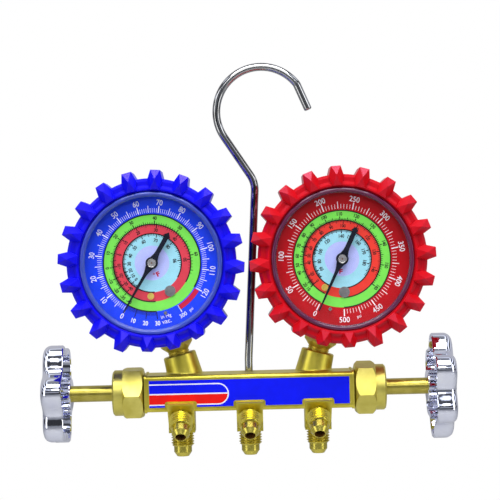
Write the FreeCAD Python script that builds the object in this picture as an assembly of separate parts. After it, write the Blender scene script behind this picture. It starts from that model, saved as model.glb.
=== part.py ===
import FreeCAD, Part
import math
import os

Vector = FreeCAD.Vector

# Manifold bar: X runs along it, the front faces -Y and the ports point down
bar_length = 100.9
bar_height = 17.5
bar_depth = 22.0
bar_edge_radius = 1.55
bar_lip_height = 0.5
bar_lip_width = 1.0
gallery_radius = 2.5
chamber_radius = 4.5
seat_from_centre = 24.0
passage_radius = 2.0
fit_gap = 0.05
press_gap = 0.02

# Port blocks under the bar, one in the middle and one on each side
port_spacing = 33.0
block_width = 12.7
block_depth = 12.8
block_drop = 19.4
block_shoulder_drop = 4.5
slant_face_distance = 15.2
slant_front_reach = 16.4
pad_width = 14.2
pad_drop = 4.3
pad_thickness = 0.5

# Quarter inch flare nipples, screwed into the blocks
flare_thread_radius = 5.556
flare_nose_radius = 4.35
flare_lip_radius = 2.9
flare_bore_radius = 2.5
flare_cone_length = 2.1
flare_spigot_radius = 4.4
flare_spigot_length = 4.0
flare_chamfer = 0.6
hose_thread_length = 6.9
hose_nose_length = 2.9
park_thread_length = 7.3
park_nose_length = 3.5
park_bore_depth = 11.0

# Front label on the bar's flat face
label_end_margin = 2.35
label_height = 12.9
label_thickness = 0.25
label_notch_margin = 0.6
label_corner_radius = 1.2

# Bosses that carry the gauges, leaning outward
gauge_lean = {"low": 14.1, "high": 14.9}
boss_foot_from_centre = 29.1
boss_top_distance = 18.9
boss_base_radius = 8.9
boss_top_radius = 8.0
boss_root_distance = 4.0
boss_edge_chamfer = 0.5
boss_foot_fillet = 1.2
boss_thread_depth = 9.0
gauge_thread_radius = 4.9
gauge_distance = 65.1

# Valve in each end of the bar, sizes along it measured outward
bonnet_spigot_radius = 6.8
bonnet_spigot_length = 15.1
bonnet_flats = 23.0
bonnet_shoulder_radius = 8.9
bonnet_shoulder_length = 0.9
bonnet_hex_length = 9.9
bonnet_chamfer_length = 1.6
bonnet_collar_radius = 11.1
bonnet_collar_length = 4.9
bonnet_collar_chamfer = 0.8
hex_corner_angle = {"low": 33.0, "high": 41.5}
gasket_radius = 7.85
gasket_thickness = 1.1
stem_radius = 3.95
stem_exposed_length = 20.3
stem_collar_radius = 4.2
stem_collar_length = 4.1
stem_nose_radius = 2.0
seat_disc_radius = 4.3
seat_disc_thickness = 2.8
seat_disc_pocket_depth = 2.0
seat_gap = 0.1
o_ring_groove_radius = 3.1
o_ring_groove_width = 1.5
o_ring_inset = 9.0
o_ring_squeeze_gap = 0.03

# Handwheels, hollow towards the bar
wheel_radius = 25.6
wheel_valley_depth = 3.8
wheel_lobe_radius = 8.5
wheel_lobes = 6
wheel_depth = 10.0
wheel_wall = 1.8
wheel_edge_radius = 4.0
wheel_pocket_radius = 2.4
wheel_hub_radius = 7.65
wheel_hub_overhang = 2.4
wheel_socket_depth = 1.2
wheel_lobe_angle = {"low": 22.0, "high": 1.0}
stem_square_side = 5.6
stem_square_length = 6.4
wheel_screw_radius = 1.65
wheel_screw_length = 8.0
wheel_screw_head_radius = 3.8
wheel_screw_head_height = 1.5

# Hanging hook, bent from one round wire
hook_wire_radius = 1.95
hook_set_back = 7.4
hook_hole_depth = 8.0
hook_end_gap = 0.3
hook_lean = 3.5
hook_lean_start = 6.0
hook_lean_bend_radius = 40.0
hook_bend_radius = 13.0
hook_centre_x = 9.2
hook_centre_height = 127.45
hook_arc_radius = 22.15
hook_start_below = 33.0
hook_end_above = 39.0
hook_tip_turn = 16.0
hook_tip_bend_radius = 6.0
hook_tip_length = 14.0
hook_tip_round = 0.8
grub_radius = 1.95
grub_height = 4.0
grub_point_radius = 0.9
hook_groove_depth = 0.5
hook_groove_width = 2.2

# Gauge case, boot and lens; the gauge faces -Y and its stem points down
case_radius = 33.6
case_wall = 1.0
case_front = 19.5
case_back = 8.5
case_back_edge_radius = 2.5
boot_wall = 6.7
boot_front = 21.5
boot_back = 10.5
boot_gap = 0.1
boot_back_lip_width = 3.6
boot_front_bevel = 1.4
boot_back_bevel = 1.5
boot_step_back = 3.0
boot_step = 1.8
boot_lip_gap = 0.5
boot_lip_bevel = 0.6
boot_lip_depth = 2.6
boot_lip_width = 1.3
boot_face_drop = 1.3
boot_stem_hole_radius = 8.4
knob_count = 20
knob_tip_reach = 3.9
knob_tip_reach_at_stem = 1.7
knobs_at_stem = 3
knob_tip_half_width = 2.3
knob_tip_front = 21.6
knob_wide_inset = 1.0
knob_wide_half_width = 3.7
knob_peak_inset = 0.5
knob_peak_front = 24.4
knob_foot_step = 0.6
knob_foot_half_width = 2.1
knob_foot_front = 22.8
knob_back = 1.5
knob_tip_back = -1.0
lens_edge_past_case = 0.2
lens_front = 22.0
lens_rim_width = 2.0
lens_window_front = 20.6
lens_window_thickness = 1.5
lens_skirt_length = 1.6
lens_rim_round = 0.5
lens_gasket_thickness = 0.4
skirt_gap = 0.1

# Dial and what is fixed to it
dial_edge_gap = 0.3
dial_front = 13.9
dial_thickness = 0.8
dial_screw_distance = 15.9
dial_screw_angle = 17.5
dial_screw_radius = 0.6
dial_screw_head_radius = 1.6
dial_screw_head_height = 0.6
zero_screw_radius = 1.1
zero_screw_head_radius = 2.6
zero_screw_head_height = 0.6
zero_screw_length = 1.5
zero_screw_slot_width = 0.5
zero_screw_slot_depth = 0.3
stop_pin_radius = 0.8
stop_pin_distance = 24.6
stop_pin_length = 3.0
zero_angle = {"low": 225.0, "high": 190.5}

# Pointer
pointer_front = 16.6
pointer_thickness = 0.6
pointer_length = 27.2
pointer_tip_half_width = 0.25
pointer_flare_half_width = 1.7
pointer_flare_length = 6.5
pointer_needle_half_width = 0.75
pointer_tail_length = 16.8
pointer_tail_half_width = 1.0
pointer_barb_half_width = 1.9
pointer_barb_length = 2.4
pointer_hub_radius = 2.95
pointer_hub_height = 1.2

# Gauge movement between its two plates
front_plate_front = 11.5
back_plate_front = 5.2
plate_thickness = 0.8
plate_half_width = 9.0
plate_top = 6.0
plate_bottom = 27.0
pillar_radius = 1.3
pillar_inset = 2.5
dial_post_radius = 1.6
dial_post_height = 7.0
arbor_radius = 0.6
arbor_cap_radius = 2.3
arbor_cap_height = 0.2
arbor_end_past_plate = 0.1
gear_module = 0.3
pinion_teeth = 12
sector_full_teeth = 96
sector_teeth_before = 2
sector_teeth_after = 12
pressure_angle = 20.0
pinion_addendum = 0.8
sector_addendum = 0.7
gear_dedendum = 1.15
tooth_thinning = 0.06
pinion_front = 10.2
pinion_length = 2.0
sector_front = 9.6
sector_thickness = 0.8
sector_rim_width = 2.2
sector_hub_radius = 2.0
sector_arm_half_width = 1.1
sector_tail_length = 8.0
quarter_turn = 90.0
sector_tail_angle = 110.0
sector_tail_pin_length = 1.3
collet_front = 7.6
collet_radius = 1.5
collet_length = 1.4
hairspring_front = 7.4
hairspring_width = 1.0
hairspring_thickness = 0.2
hairspring_outer_radius = 5.4
hairspring_turns = 3
hairspring_steps = 16
stud_radius = 0.7
stud_gap = 0.3

# Link between the sector's tail and the tube's tip
link_front = 8.5
link_thickness = 0.8
link_eye_radius = 1.4
link_half_width = 0.8
link_lug_gap = 0.3

# Bourdon tube, bent round the gauge's axis from the socket block
tube_centre_radius = 25.0
tube_half_breadth = 5.0
tube_half_thickness = 1.6
tube_wall = 0.5
tube_middle_depth = 1.1
tube_sweep = 255.0
tip_length = 4.4
tip_wall = 0.4
tip_lug_reach = 3.2
tip_lug_height = 3.4

# Socket: the stem, its hexagon and the block inside the case
socket_block_width = 12.0
socket_block_top = 20.0
socket_block_bottom = 30.0
socket_neck_radius = 6.0
socket_hex_start = 34.3
socket_hex_end = 44.3
socket_hex_flats = 13.7
socket_cone_radius = 5.1
socket_cone_slope = 0.95
socket_thread_length = 8.5
socket_bore_radius = 1.5
case_screw_spacing = 6.4
case_screw_distance = 25.5
case_screw_radius = 1.4
case_screw_length = 4.6
case_screw_head_radius = 2.6
case_screw_head_height = 1.6

# Places that follow from the sizes above
bar_end = bar_length / 2
label_length = bar_length - 2 * label_end_margin
bar_front = -bar_depth / 2
bar_top = bar_height / 2
hex_start = bar_end + bonnet_shoulder_length
hex_end = hex_start + bonnet_hex_length
collar_end = hex_end + bonnet_collar_length
hub_start = collar_end + stem_exposed_length
wheel_inner = hub_start + wheel_hub_overhang
wheel_outer = wheel_inner + wheel_depth
square_start = hub_start + wheel_socket_depth
square_end = square_start + stem_square_length
seat_disc_end = seat_from_centre + seat_gap + seat_disc_thickness
stem_collar_start = seat_disc_end + seat_gap
spigot_start = bar_end - bonnet_spigot_length
boot_radius = case_radius + boot_wall
boot_back_lip_radius = case_radius - boot_back_lip_width
lens_radius = case_radius + lens_edge_past_case
lens_window_radius = lens_radius - lens_rim_width
boot_lip_radius = lens_radius + boot_lip_gap
knob_wide_radius = boot_radius - knob_wide_inset
knob_peak_radius = boot_radius - knob_peak_inset
knob_foot_radius = boot_lip_radius + knob_foot_step
dial_radius = case_radius - case_wall - dial_edge_gap
lean = {-1: math.radians(gauge_lean["low"]), 1: math.radians(gauge_lean["high"])}
pinion_pitch_radius = gear_module * pinion_teeth / 2
sector_pitch_radius = gear_module * sector_full_teeth / 2
sector_pivot_drop = pinion_pitch_radius + sector_pitch_radius
hook_centre = Vector(hook_centre_x, hook_set_back, bar_top + hook_centre_height)
hang_height = hook_centre.z + math.sqrt((hook_arc_radius - hook_wire_radius) ** 2 - hook_centre_x ** 2)
hang_point = Vector(0, hook_set_back, hang_height)

X_AXIS = Vector(1, 0, 0)
Y_AXIS = Vector(0, 1, 0)
Z_AXIS = Vector(0, 0, 1)


def rod(radius, start, end):
    """A round bar between two points."""
    run = end - start
    return Part.makeCylinder(radius, run.Length, start, run)


def box(low, high):
    """A box from its low corner to its high corner."""
    size = high - low
    return Part.makeBox(size.x, size.y, size.z, low)


def revolved(points, axis):
    """A solid turned about an axis through the origin from a closed outline."""
    face = Part.Face(Part.makePolygon(points + points[:1]))
    return face.revolve(Vector(0, 0, 0), axis, 360)


def extruded(points, run):
    """A straight-sided solid from a closed flat outline."""
    return Part.Face(Part.makePolygon(points + points[:1])).extrude(run)


def placed(shape, origin, direction):
    """The shape with its own +Z laid along a direction."""
    moved = shape.copy()
    moved.Placement = FreeCAD.Placement(origin, FreeCAD.Rotation(Z_AXIS, direction))
    return moved


def around(radius, angle, y=0.0):
    """A point on the gauge's face, its angle clockwise from the top in degrees."""
    turn = math.radians(angle)
    return Vector(radius * math.sin(turn), y, radius * math.cos(turn))


# Manifold bar with its port blocks and gauge bosses

def port_block(x):
    """One block: flat underneath, with a slanted face for the front nipple."""
    half_depth = block_depth / 2
    slant_sum = slant_face_distance * math.sqrt(2)
    outline = [
        Vector(x - block_width / 2, half_depth, -block_shoulder_drop),
        Vector(x - block_width / 2, -slant_front_reach, -block_shoulder_drop),
        Vector(x - block_width / 2, -slant_front_reach, slant_front_reach - slant_sum),
        Vector(x - block_width / 2, -half_depth, half_depth - slant_sum),
        Vector(x - block_width / 2, -half_depth, -block_drop),
        Vector(x - block_width / 2, half_depth, -block_drop),
    ]
    pad_low = Vector(x - pad_width / 2, bar_front - pad_thickness, -bar_top + bar_edge_radius)
    pad_high = Vector(x + pad_width / 2, 0, -pad_drop)
    return extruded(outline, Vector(block_width, 0, 0)).fuse(box(pad_low, pad_high))


def hose_nipple_place(x):
    """Where a hose nipple meets its block, and the way it points."""
    return Vector(x, 0, -block_drop), Vector(0, 0, -1)


def park_nipple_place(x):
    """Where a parking nipple meets its block, and the way it points."""
    direction = Vector(0, -1, -1).normalize()
    return Vector(x, 0, 0) + direction * slant_face_distance, direction


def boss_axis(side):
    """Foot of a gauge's axis on the bar's own axis, and the way it leans."""
    foot = Vector(side * boss_foot_from_centre, 0, 0)
    return foot, Vector(side * math.sin(lean[side]), 0, math.cos(lean[side]))


def gauge_boss(side):
    foot, direction = boss_axis(side)
    chamfer_start = boss_top_distance - boss_edge_chamfer
    outline = [
        Vector(0, 0, boss_root_distance),
        Vector(boss_base_radius, 0, boss_root_distance),
        Vector(boss_top_radius, 0, chamfer_start),
        Vector(boss_top_radius - boss_edge_chamfer, 0, boss_top_distance),
        Vector(0, 0, boss_top_distance),
    ]
    return placed(revolved(outline, Z_AXIS), foot, direction)


def rounded_bar(start, end, proud):
    """A stretch of the bar with its long edges rounded, or standing proud of the rest."""
    low = Vector(start, bar_front - proud, -bar_top - proud)
    high = Vector(end, proud - bar_front, bar_top + proud)
    stretch = box(low, high)
    long_edges = [edge for edge in stretch.Edges if abs(edge.tangentAt(edge.FirstParameter).x) > 0.9]
    return stretch.makeFillet(bar_edge_radius + proud, long_edges)


def blended_bosses(bar):
    """The bar with both gauge bosses on it, and a small fillet where each one stands."""
    whole = bar.multiFuse([gauge_boss(-1), gauge_boss(1)])
    feet = [edge for edge in whole.Edges
            if abs(edge.BoundBox.ZMin - bar_top) < 0.01 and edge.BoundBox.ZLength < 0.01
            and edge.BoundBox.XLength < 3 * boss_base_radius and edge.BoundBox.YLength > boss_base_radius]
    return whole.makeFillet(boss_foot_fillet, feet)


def manifold_body():
    ports = [-port_spacing, 0.0, port_spacing]
    lips = [rounded_bar(-bar_end, bar_lip_width - bar_end, bar_lip_height),
            rounded_bar(bar_end - bar_lip_width, bar_end, bar_lip_height)]
    bar = blended_bosses(rounded_bar(-bar_end, bar_end, 0.0))
    bar = bar.multiFuse(lips + [port_block(x) for x in ports])
    cuts = [rod(gallery_radius, Vector(-seat_from_centre, 0, 0), Vector(seat_from_centre, 0, 0))]
    for side in (-1, 1):
        cuts.append(rod(chamber_radius, X_AXIS * side * seat_from_centre, X_AXIS * side * bar_end))
        cuts.append(rod(bonnet_spigot_radius + fit_gap,
                        X_AXIS * side * (spigot_start - fit_gap), X_AXIS * side * bar_end))
        cuts.append(rod(gasket_radius + fit_gap,
                        X_AXIS * side * (bar_end - gasket_thickness - fit_gap), X_AXIS * side * bar_end))
        foot, direction = boss_axis(side)
        cuts.append(rod(passage_radius, foot, foot + direction * boss_top_distance))
        thread_end = boss_top_distance - boss_thread_depth
        cuts.append(rod(gauge_thread_radius + fit_gap,
                        foot + direction * thread_end, foot + direction * boss_top_distance))
    for x in ports:
        for origin, direction in (hose_nipple_place(x), park_nipple_place(x)):
            spigot_end = origin - direction * (flare_spigot_length + fit_gap)
            cuts.append(rod(flare_spigot_radius + press_gap, spigot_end, origin))
        cuts.append(rod(passage_radius, Vector(x, 0, -block_drop), Vector(x, 0, 0)))
    hole_bottom = Vector(0, hook_set_back, bar_top - hook_hole_depth)
    cuts.append(rod(hook_wire_radius + fit_gap, hole_bottom, Vector(0, hook_set_back, bar_top)))
    cuts.append(rod(grub_radius + press_gap,
                    Vector(0, hook_set_back, grub_height), Vector(0, -bar_front, grub_height)))
    return bar.cut(cuts)


def nipple(place, thread_length, nose_length, bore_depth):
    """A flare nipple: spigot, thread, plain nose and the cone that seals."""
    origin, direction = place
    nose_end = thread_length + nose_length
    tip = nose_end + flare_cone_length
    outline = [
        Vector(0, 0, -flare_spigot_length),
        Vector(flare_spigot_radius, 0, -flare_spigot_length),
        Vector(flare_spigot_radius, 0, flare_chamfer),
        Vector(flare_thread_radius, 0, flare_chamfer),
        Vector(flare_thread_radius, 0, thread_length - flare_chamfer),
        Vector(flare_thread_radius - flare_chamfer, 0, thread_length),
        Vector(flare_nose_radius, 0, thread_length),
        Vector(flare_nose_radius, 0, nose_end),
        Vector(flare_lip_radius, 0, tip),
        Vector(0, 0, tip),
    ]
    blank = revolved(outline, Z_AXIS)
    bore = rod(flare_bore_radius, Vector(0, 0, tip - bore_depth), Vector(0, 0, tip))
    return placed(blank.cut(bore), origin, direction)


def hose_nipple(x):
    through = flare_spigot_length + hose_thread_length + hose_nose_length + flare_cone_length
    return nipple(hose_nipple_place(x), hose_thread_length, hose_nose_length, through)


def park_nipple(x):
    return nipple(park_nipple_place(x), park_thread_length, park_nose_length, park_bore_depth)


def front_label():
    front = bar_front - label_thickness
    plate = box(Vector(-label_length / 2, front, -label_height / 2),
                Vector(label_length / 2, bar_front, label_height / 2))
    notches = []
    for x in (-port_spacing, 0.0, port_spacing):
        half_width = pad_width / 2 + label_notch_margin
        notch = box(Vector(x - half_width, front, -bar_height),
                    Vector(x + half_width, bar_front, label_notch_margin - pad_drop))
        corners = [edge for edge in notch.Edges
                   if edge.BoundBox.YLength > label_thickness / 2 and edge.BoundBox.ZMin > -bar_top]
        notches.append(notch.makeFillet(label_corner_radius, corners))
    return plate.cut(notches)


# Hook wire and the screw that keeps it in the bar

def in_hook_plane(x, z):
    return Vector(x, hook_set_back, z)


def hook_round_corner(before, corner, after, radius):
    """The arc that rounds a corner of the wire, as start, middle and end."""
    back = (before - corner).normalize()
    ahead = (after - corner).normalize()
    half_angle = back.getAngle(ahead) / 2
    setback = radius / math.tan(half_angle)
    centre = corner + (back + ahead).normalize() * (radius / math.sin(half_angle))
    middle = centre + (corner - centre).normalize() * radius
    return corner + back * setback, middle, corner + ahead * setback


def hook_path():
    """The wire's centre line: leaning rod, diagonal, big arc and turned-down end."""
    below = math.radians(180 + hook_start_below)
    above = math.radians(hook_end_above)
    rise = math.radians(hook_lean)
    tip_fall = math.radians(90 - hook_end_above + hook_tip_turn)
    arc_start = hook_centre + in_hook_plane(math.cos(below), math.sin(below)) * hook_arc_radius
    arc_start.y = hook_set_back
    arc_end = hook_centre + in_hook_plane(math.cos(above), math.sin(above)) * hook_arc_radius
    arc_end.y = hook_set_back
    arc_top = in_hook_plane(hook_centre.x, hook_centre.z + hook_arc_radius)
    foot = in_hook_plane(0, bar_top - hook_hole_depth + hook_end_gap)
    lean_corner = in_hook_plane(0, bar_top + hook_lean_start)
    diagonal = Vector(-math.sin(below), 0, math.cos(below))
    run = ((arc_start.x - (arc_start.z - lean_corner.z) * math.tan(rise))
           / (-diagonal.x + diagonal.z * math.tan(rise)))
    bend_corner = arc_start + diagonal * run
    setback = hook_tip_bend_radius * math.tan(math.radians(hook_tip_turn) / 2)
    tip_corner = arc_end + Vector(math.sin(above), 0, -math.cos(above)) * setback
    tip = tip_corner + Vector(math.cos(tip_fall), 0, -math.sin(tip_fall)) * hook_tip_length
    lean_bend = hook_round_corner(foot, lean_corner, bend_corner, hook_lean_bend_radius)
    big_bend = hook_round_corner(lean_corner, bend_corner, arc_start, hook_bend_radius)
    tip_bend = hook_round_corner(arc_end, tip_corner, tip, hook_tip_bend_radius)
    edges = [
        Part.makeLine(foot, lean_bend[0]),
        Part.Arc(*lean_bend).toShape(),
        Part.makeLine(lean_bend[2], big_bend[0]),
        Part.Arc(*big_bend).toShape(),
        Part.makeLine(big_bend[2], arc_start),
        Part.Arc(arc_start, arc_top, arc_end).toShape(),
        Part.Arc(*tip_bend).toShape(),
        Part.makeLine(tip_bend[2], tip),
    ]
    return Part.Wire(edges), foot, tip


def hook():
    path, foot, tip = hook_path()
    section = Part.Wire(Part.makeCircle(hook_wire_radius, foot, Z_AXIS))
    wire = path.makePipeShell([section], True, False)
    end_edges = [edge for edge in wire.Edges
                 if edge.Length < 7 * hook_wire_radius and (edge.CenterOfMass - tip).Length < 0.1]
    wire = wire.makeFillet(hook_tip_round, end_edges)
    half_groove = hook_groove_width / 2
    low = in_hook_plane(0, grub_height - half_groove)
    high = in_hook_plane(0, grub_height + half_groove)
    groove = rod(2 * hook_wire_radius, low, high).cut(rod(hook_wire_radius - hook_groove_depth, low, high))
    return wire.cut(groove)


def hook_grub_screw():
    point_end = hook_set_back + hook_wire_radius - hook_groove_depth + 2 * fit_gap
    body_start = hook_set_back + hook_wire_radius + 2 * fit_gap
    back = -bar_front
    point = rod(grub_point_radius, Vector(0, point_end, grub_height), Vector(0, back, grub_height))
    body = rod(grub_radius, Vector(0, body_start, grub_height), Vector(0, back, grub_height))
    return body.fuse(point)


# Valve in one end of the bar; side is -1 on the left and 1 on the right

def hex_points(x, across_flats, corner_angle):
    """Corners of a hexagon square to X, the first so far from the top to the front."""
    radius = across_flats / math.sqrt(3)
    angles = [math.radians(corner_angle + 60 * corner) for corner in range(6)]
    return [Vector(x, -radius * math.sin(angle), radius * math.cos(angle)) for angle in angles]


def bonnet(name, side):
    corner_radius = bonnet_flats / math.sqrt(3)
    flat_radius = bonnet_flats / 2
    hexagon = extruded(hex_points(side * hex_start, bonnet_flats, hex_corner_angle[name]),
                       Vector(side * bonnet_hex_length, 0, 0))
    limits = revolved([
        Vector(side * hex_start, 0, 0),
        Vector(side * hex_start, 0, flat_radius),
        Vector(side * (hex_start + bonnet_chamfer_length), 0, corner_radius),
        Vector(side * (hex_end - bonnet_chamfer_length), 0, corner_radius),
        Vector(side * hex_end, 0, flat_radius),
        Vector(side * hex_end, 0, 0),
    ], X_AXIS)
    turned = revolved([
        Vector(side * spigot_start, 0, 0),
        Vector(side * spigot_start, 0, bonnet_spigot_radius),
        Vector(side * bar_end, 0, bonnet_spigot_radius),
        Vector(side * bar_end, 0, bonnet_shoulder_radius),
        Vector(side * hex_start, 0, bonnet_collar_radius),
        Vector(side * (collar_end - bonnet_collar_chamfer), 0, bonnet_collar_radius),
        Vector(side * collar_end, 0, bonnet_collar_radius - bonnet_collar_chamfer),
        Vector(side * collar_end, 0, 0),
    ], X_AXIS)
    bore = rod(stem_radius + fit_gap, X_AXIS * side * spigot_start, X_AXIS * side * collar_end)
    return hexagon.common(limits).fuse(turned).cut(bore)


def bonnet_gasket(side):
    start = X_AXIS * side * (bar_end - gasket_thickness)
    end = X_AXIS * side * bar_end
    return rod(gasket_radius, start, end).cut(rod(bonnet_spigot_radius + press_gap, start, end))


def o_ring_place():
    """Start and end of the seal's groove, outward from the bar's middle."""
    start = collar_end - o_ring_inset
    return start, start + o_ring_groove_width


def valve_stem(side):
    """Collar, long shank with its seal's groove, and the square under the wheel."""
    groove_start, groove_end = o_ring_place()
    stem = revolved([
        Vector(side * (stem_collar_start - seat_disc_pocket_depth), 0, 0),
        Vector(side * (stem_collar_start - seat_disc_pocket_depth), 0, stem_nose_radius),
        Vector(side * stem_collar_start, 0, stem_nose_radius),
        Vector(side * stem_collar_start, 0, stem_collar_radius),
        Vector(side * (stem_collar_start + stem_collar_length), 0, stem_collar_radius),
        Vector(side * (stem_collar_start + stem_collar_length), 0, stem_radius),
        Vector(side * groove_start, 0, stem_radius),
        Vector(side * groove_start, 0, o_ring_groove_radius),
        Vector(side * groove_end, 0, o_ring_groove_radius),
        Vector(side * groove_end, 0, stem_radius),
        Vector(side * square_start, 0, stem_radius),
        Vector(side * square_start, 0, 0),
    ], X_AXIS)
    half_side = stem_square_side / 2
    square = box(Vector(min(side * square_start, side * square_end), -half_side, -half_side),
                 Vector(max(side * square_start, side * square_end), half_side, half_side))
    tapped = rod(wheel_screw_radius + press_gap,
                 X_AXIS * side * (square_end - wheel_screw_length), X_AXIS * side * square_end)
    return stem.fuse(square).cut(tapped)


def stem_o_ring(side):
    groove_start, groove_end = o_ring_place()
    start = X_AXIS * side * (groove_start + fit_gap)
    end = X_AXIS * side * (groove_end - fit_gap)
    outer = rod(stem_radius + fit_gap - o_ring_squeeze_gap, start, end)
    return outer.cut(rod(o_ring_groove_radius + press_gap, start, end))


def seat_disc(side):
    start = X_AXIS * side * (seat_from_centre + seat_gap)
    end = X_AXIS * side * seat_disc_end
    pocket = X_AXIS * side * (seat_disc_end - seat_disc_pocket_depth)
    return rod(seat_disc_radius, start, end).cut(rod(stem_nose_radius + fit_gap, pocket, end))


def wheel_outline(inset, x, first_lobe):
    """Closed outline of the wheel's lobes and valleys as tangent arcs."""
    half_pitch = math.pi / wheel_lobes
    centre_distance = wheel_radius - wheel_lobe_radius
    valley = wheel_radius - wheel_valley_depth
    valley_radius = ((centre_distance ** 2 + valley ** 2 - wheel_lobe_radius ** 2
                      - 2 * centre_distance * valley * math.cos(half_pitch))
                     / (2 * (wheel_lobe_radius - valley + centre_distance * math.cos(half_pitch))))
    valley_centre = valley + valley_radius

    def point(radius, angle):
        return Vector(x, -radius * math.sin(angle), radius * math.cos(angle))

    edges = []
    for lobe in range(wheel_lobes):
        middle = math.radians(first_lobe) + 2 * lobe * half_pitch
        centre = point(centre_distance, middle)
        hollow_before = point(valley_centre, middle - half_pitch)
        hollow_after = point(valley_centre, middle + half_pitch)
        next_centre = point(centre_distance, middle + 2 * half_pitch)
        radius = wheel_lobe_radius - inset
        start = centre + (hollow_before - centre).normalize() * radius
        end = centre + (hollow_after - centre).normalize() * radius
        next_start = next_centre + (hollow_after - next_centre).normalize() * radius
        edges.append(Part.Arc(start, point(wheel_radius - inset, middle), end).toShape())
        edges.append(Part.Arc(end, point(valley - inset, middle + half_pitch), next_start).toShape())
    return Part.Face(Part.Wire(edges))


def handwheel(name, side):
    first_lobe = wheel_lobe_angle[name]
    run = Vector(side * wheel_depth, 0, 0)
    blank = wheel_outline(0.0, side * wheel_inner, first_lobe).extrude(run)
    outer_edges = [edge for edge in blank.Edges
                   if edge.BoundBox.XLength < 0.01 and abs(edge.CenterOfMass.x) > wheel_outer - 0.01]
    blank = blank.makeFillet(wheel_edge_radius, outer_edges)
    pocket_run = Vector(side * (wheel_depth - wheel_wall), 0, 0)
    pocket = wheel_outline(wheel_wall, side * wheel_inner, first_lobe).extrude(pocket_run)
    pocket_end = wheel_outer - wheel_wall
    pocket_edges = [edge for edge in pocket.Edges
                    if edge.BoundBox.XLength < 0.01 and abs(edge.CenterOfMass.x) > pocket_end - 0.01]
    pocket = pocket.makeFillet(wheel_pocket_radius, pocket_edges)
    hub = rod(wheel_hub_radius, X_AXIS * side * hub_start, X_AXIS * side * (wheel_outer - wheel_wall / 2))
    head_start = wheel_outer - wheel_screw_head_height - 2 * fit_gap
    half_side = stem_square_side / 2 + fit_gap
    square_low = min(side * square_start, side * (square_end + fit_gap))
    square_high = max(side * square_start, side * (square_end + fit_gap))
    cuts = [
        rod(stem_radius + fit_gap, X_AXIS * side * hub_start, X_AXIS * side * square_start),
        box(Vector(square_low, -half_side, -half_side), Vector(square_high, half_side, half_side)),
        rod(wheel_screw_radius + 4 * fit_gap, X_AXIS * side * square_end, X_AXIS * side * wheel_outer),
        rod(wheel_screw_head_radius + 4 * fit_gap, X_AXIS * side * head_start, X_AXIS * side * wheel_outer),
    ]
    return blank.cut(pocket).fuse(hub).cut(cuts)


def wheel_screw(side):
    head_start = wheel_outer - wheel_screw_head_height - 2 * fit_gap
    head_end = head_start + wheel_screw_head_height
    shank_start = square_end - wheel_screw_length + 4 * fit_gap
    head = rod(wheel_screw_head_radius, X_AXIS * side * head_start, X_AXIS * side * head_end)
    return head.fuse(rod(wheel_screw_radius, X_AXIS * side * shank_start, X_AXIS * side * head_end))


# Gauge pieces, each made upright about its own axis with the stem at y = 0

def gauge_case():
    shell = revolved([
        Vector(0, case_back, 0),
        Vector(case_radius, case_back, 0),
        Vector(case_radius, -case_front, 0),
        Vector(0, -case_front, 0),
    ], Y_AXIS)
    back_edge = [edge for edge in shell.Edges
                 if edge.BoundBox.YMin > case_back - 0.01 and edge.BoundBox.YLength < 0.01]
    shell = shell.makeFillet(case_back_edge_radius, back_edge)
    hollow = rod(case_radius - case_wall, Vector(0, case_back - case_wall, 0), Vector(0, -case_front, 0))
    hollow_edge = [edge for edge in hollow.Edges
                   if edge.BoundBox.YMin > case_back - case_wall - 0.01 and edge.BoundBox.YLength < 0.01]
    hollow = hollow.makeFillet(case_back_edge_radius - case_wall, hollow_edge)
    stem_hole = rod(socket_neck_radius + fit_gap,
                    Vector(0, 0, -case_radius - 1), Vector(0, 0, -socket_block_top))
    screw_holes = [rod(case_screw_radius + fit_gap, place, place + Vector(0, 2 * case_wall, 0))
                   for place in case_screw_places(case_back - 2 * case_wall + fit_gap)]
    return shell.cut([hollow, stem_hole] + screw_holes)


def case_screw_places(y):
    return [Vector(side * case_screw_spacing / 2, y, -case_screw_distance) for side in (-1, 1)]


def case_screws():
    screws = []
    for seat in case_screw_places(case_back):
        head = rod(case_screw_head_radius, seat, seat + Vector(0, case_screw_head_height, 0))
        shank = rod(case_screw_radius, seat - Vector(0, case_screw_length, 0),
                    seat + Vector(0, case_screw_head_height / 2, 0))
        screws.append(head.fuse(shank))
    return Part.makeCompound(screws)


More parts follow.
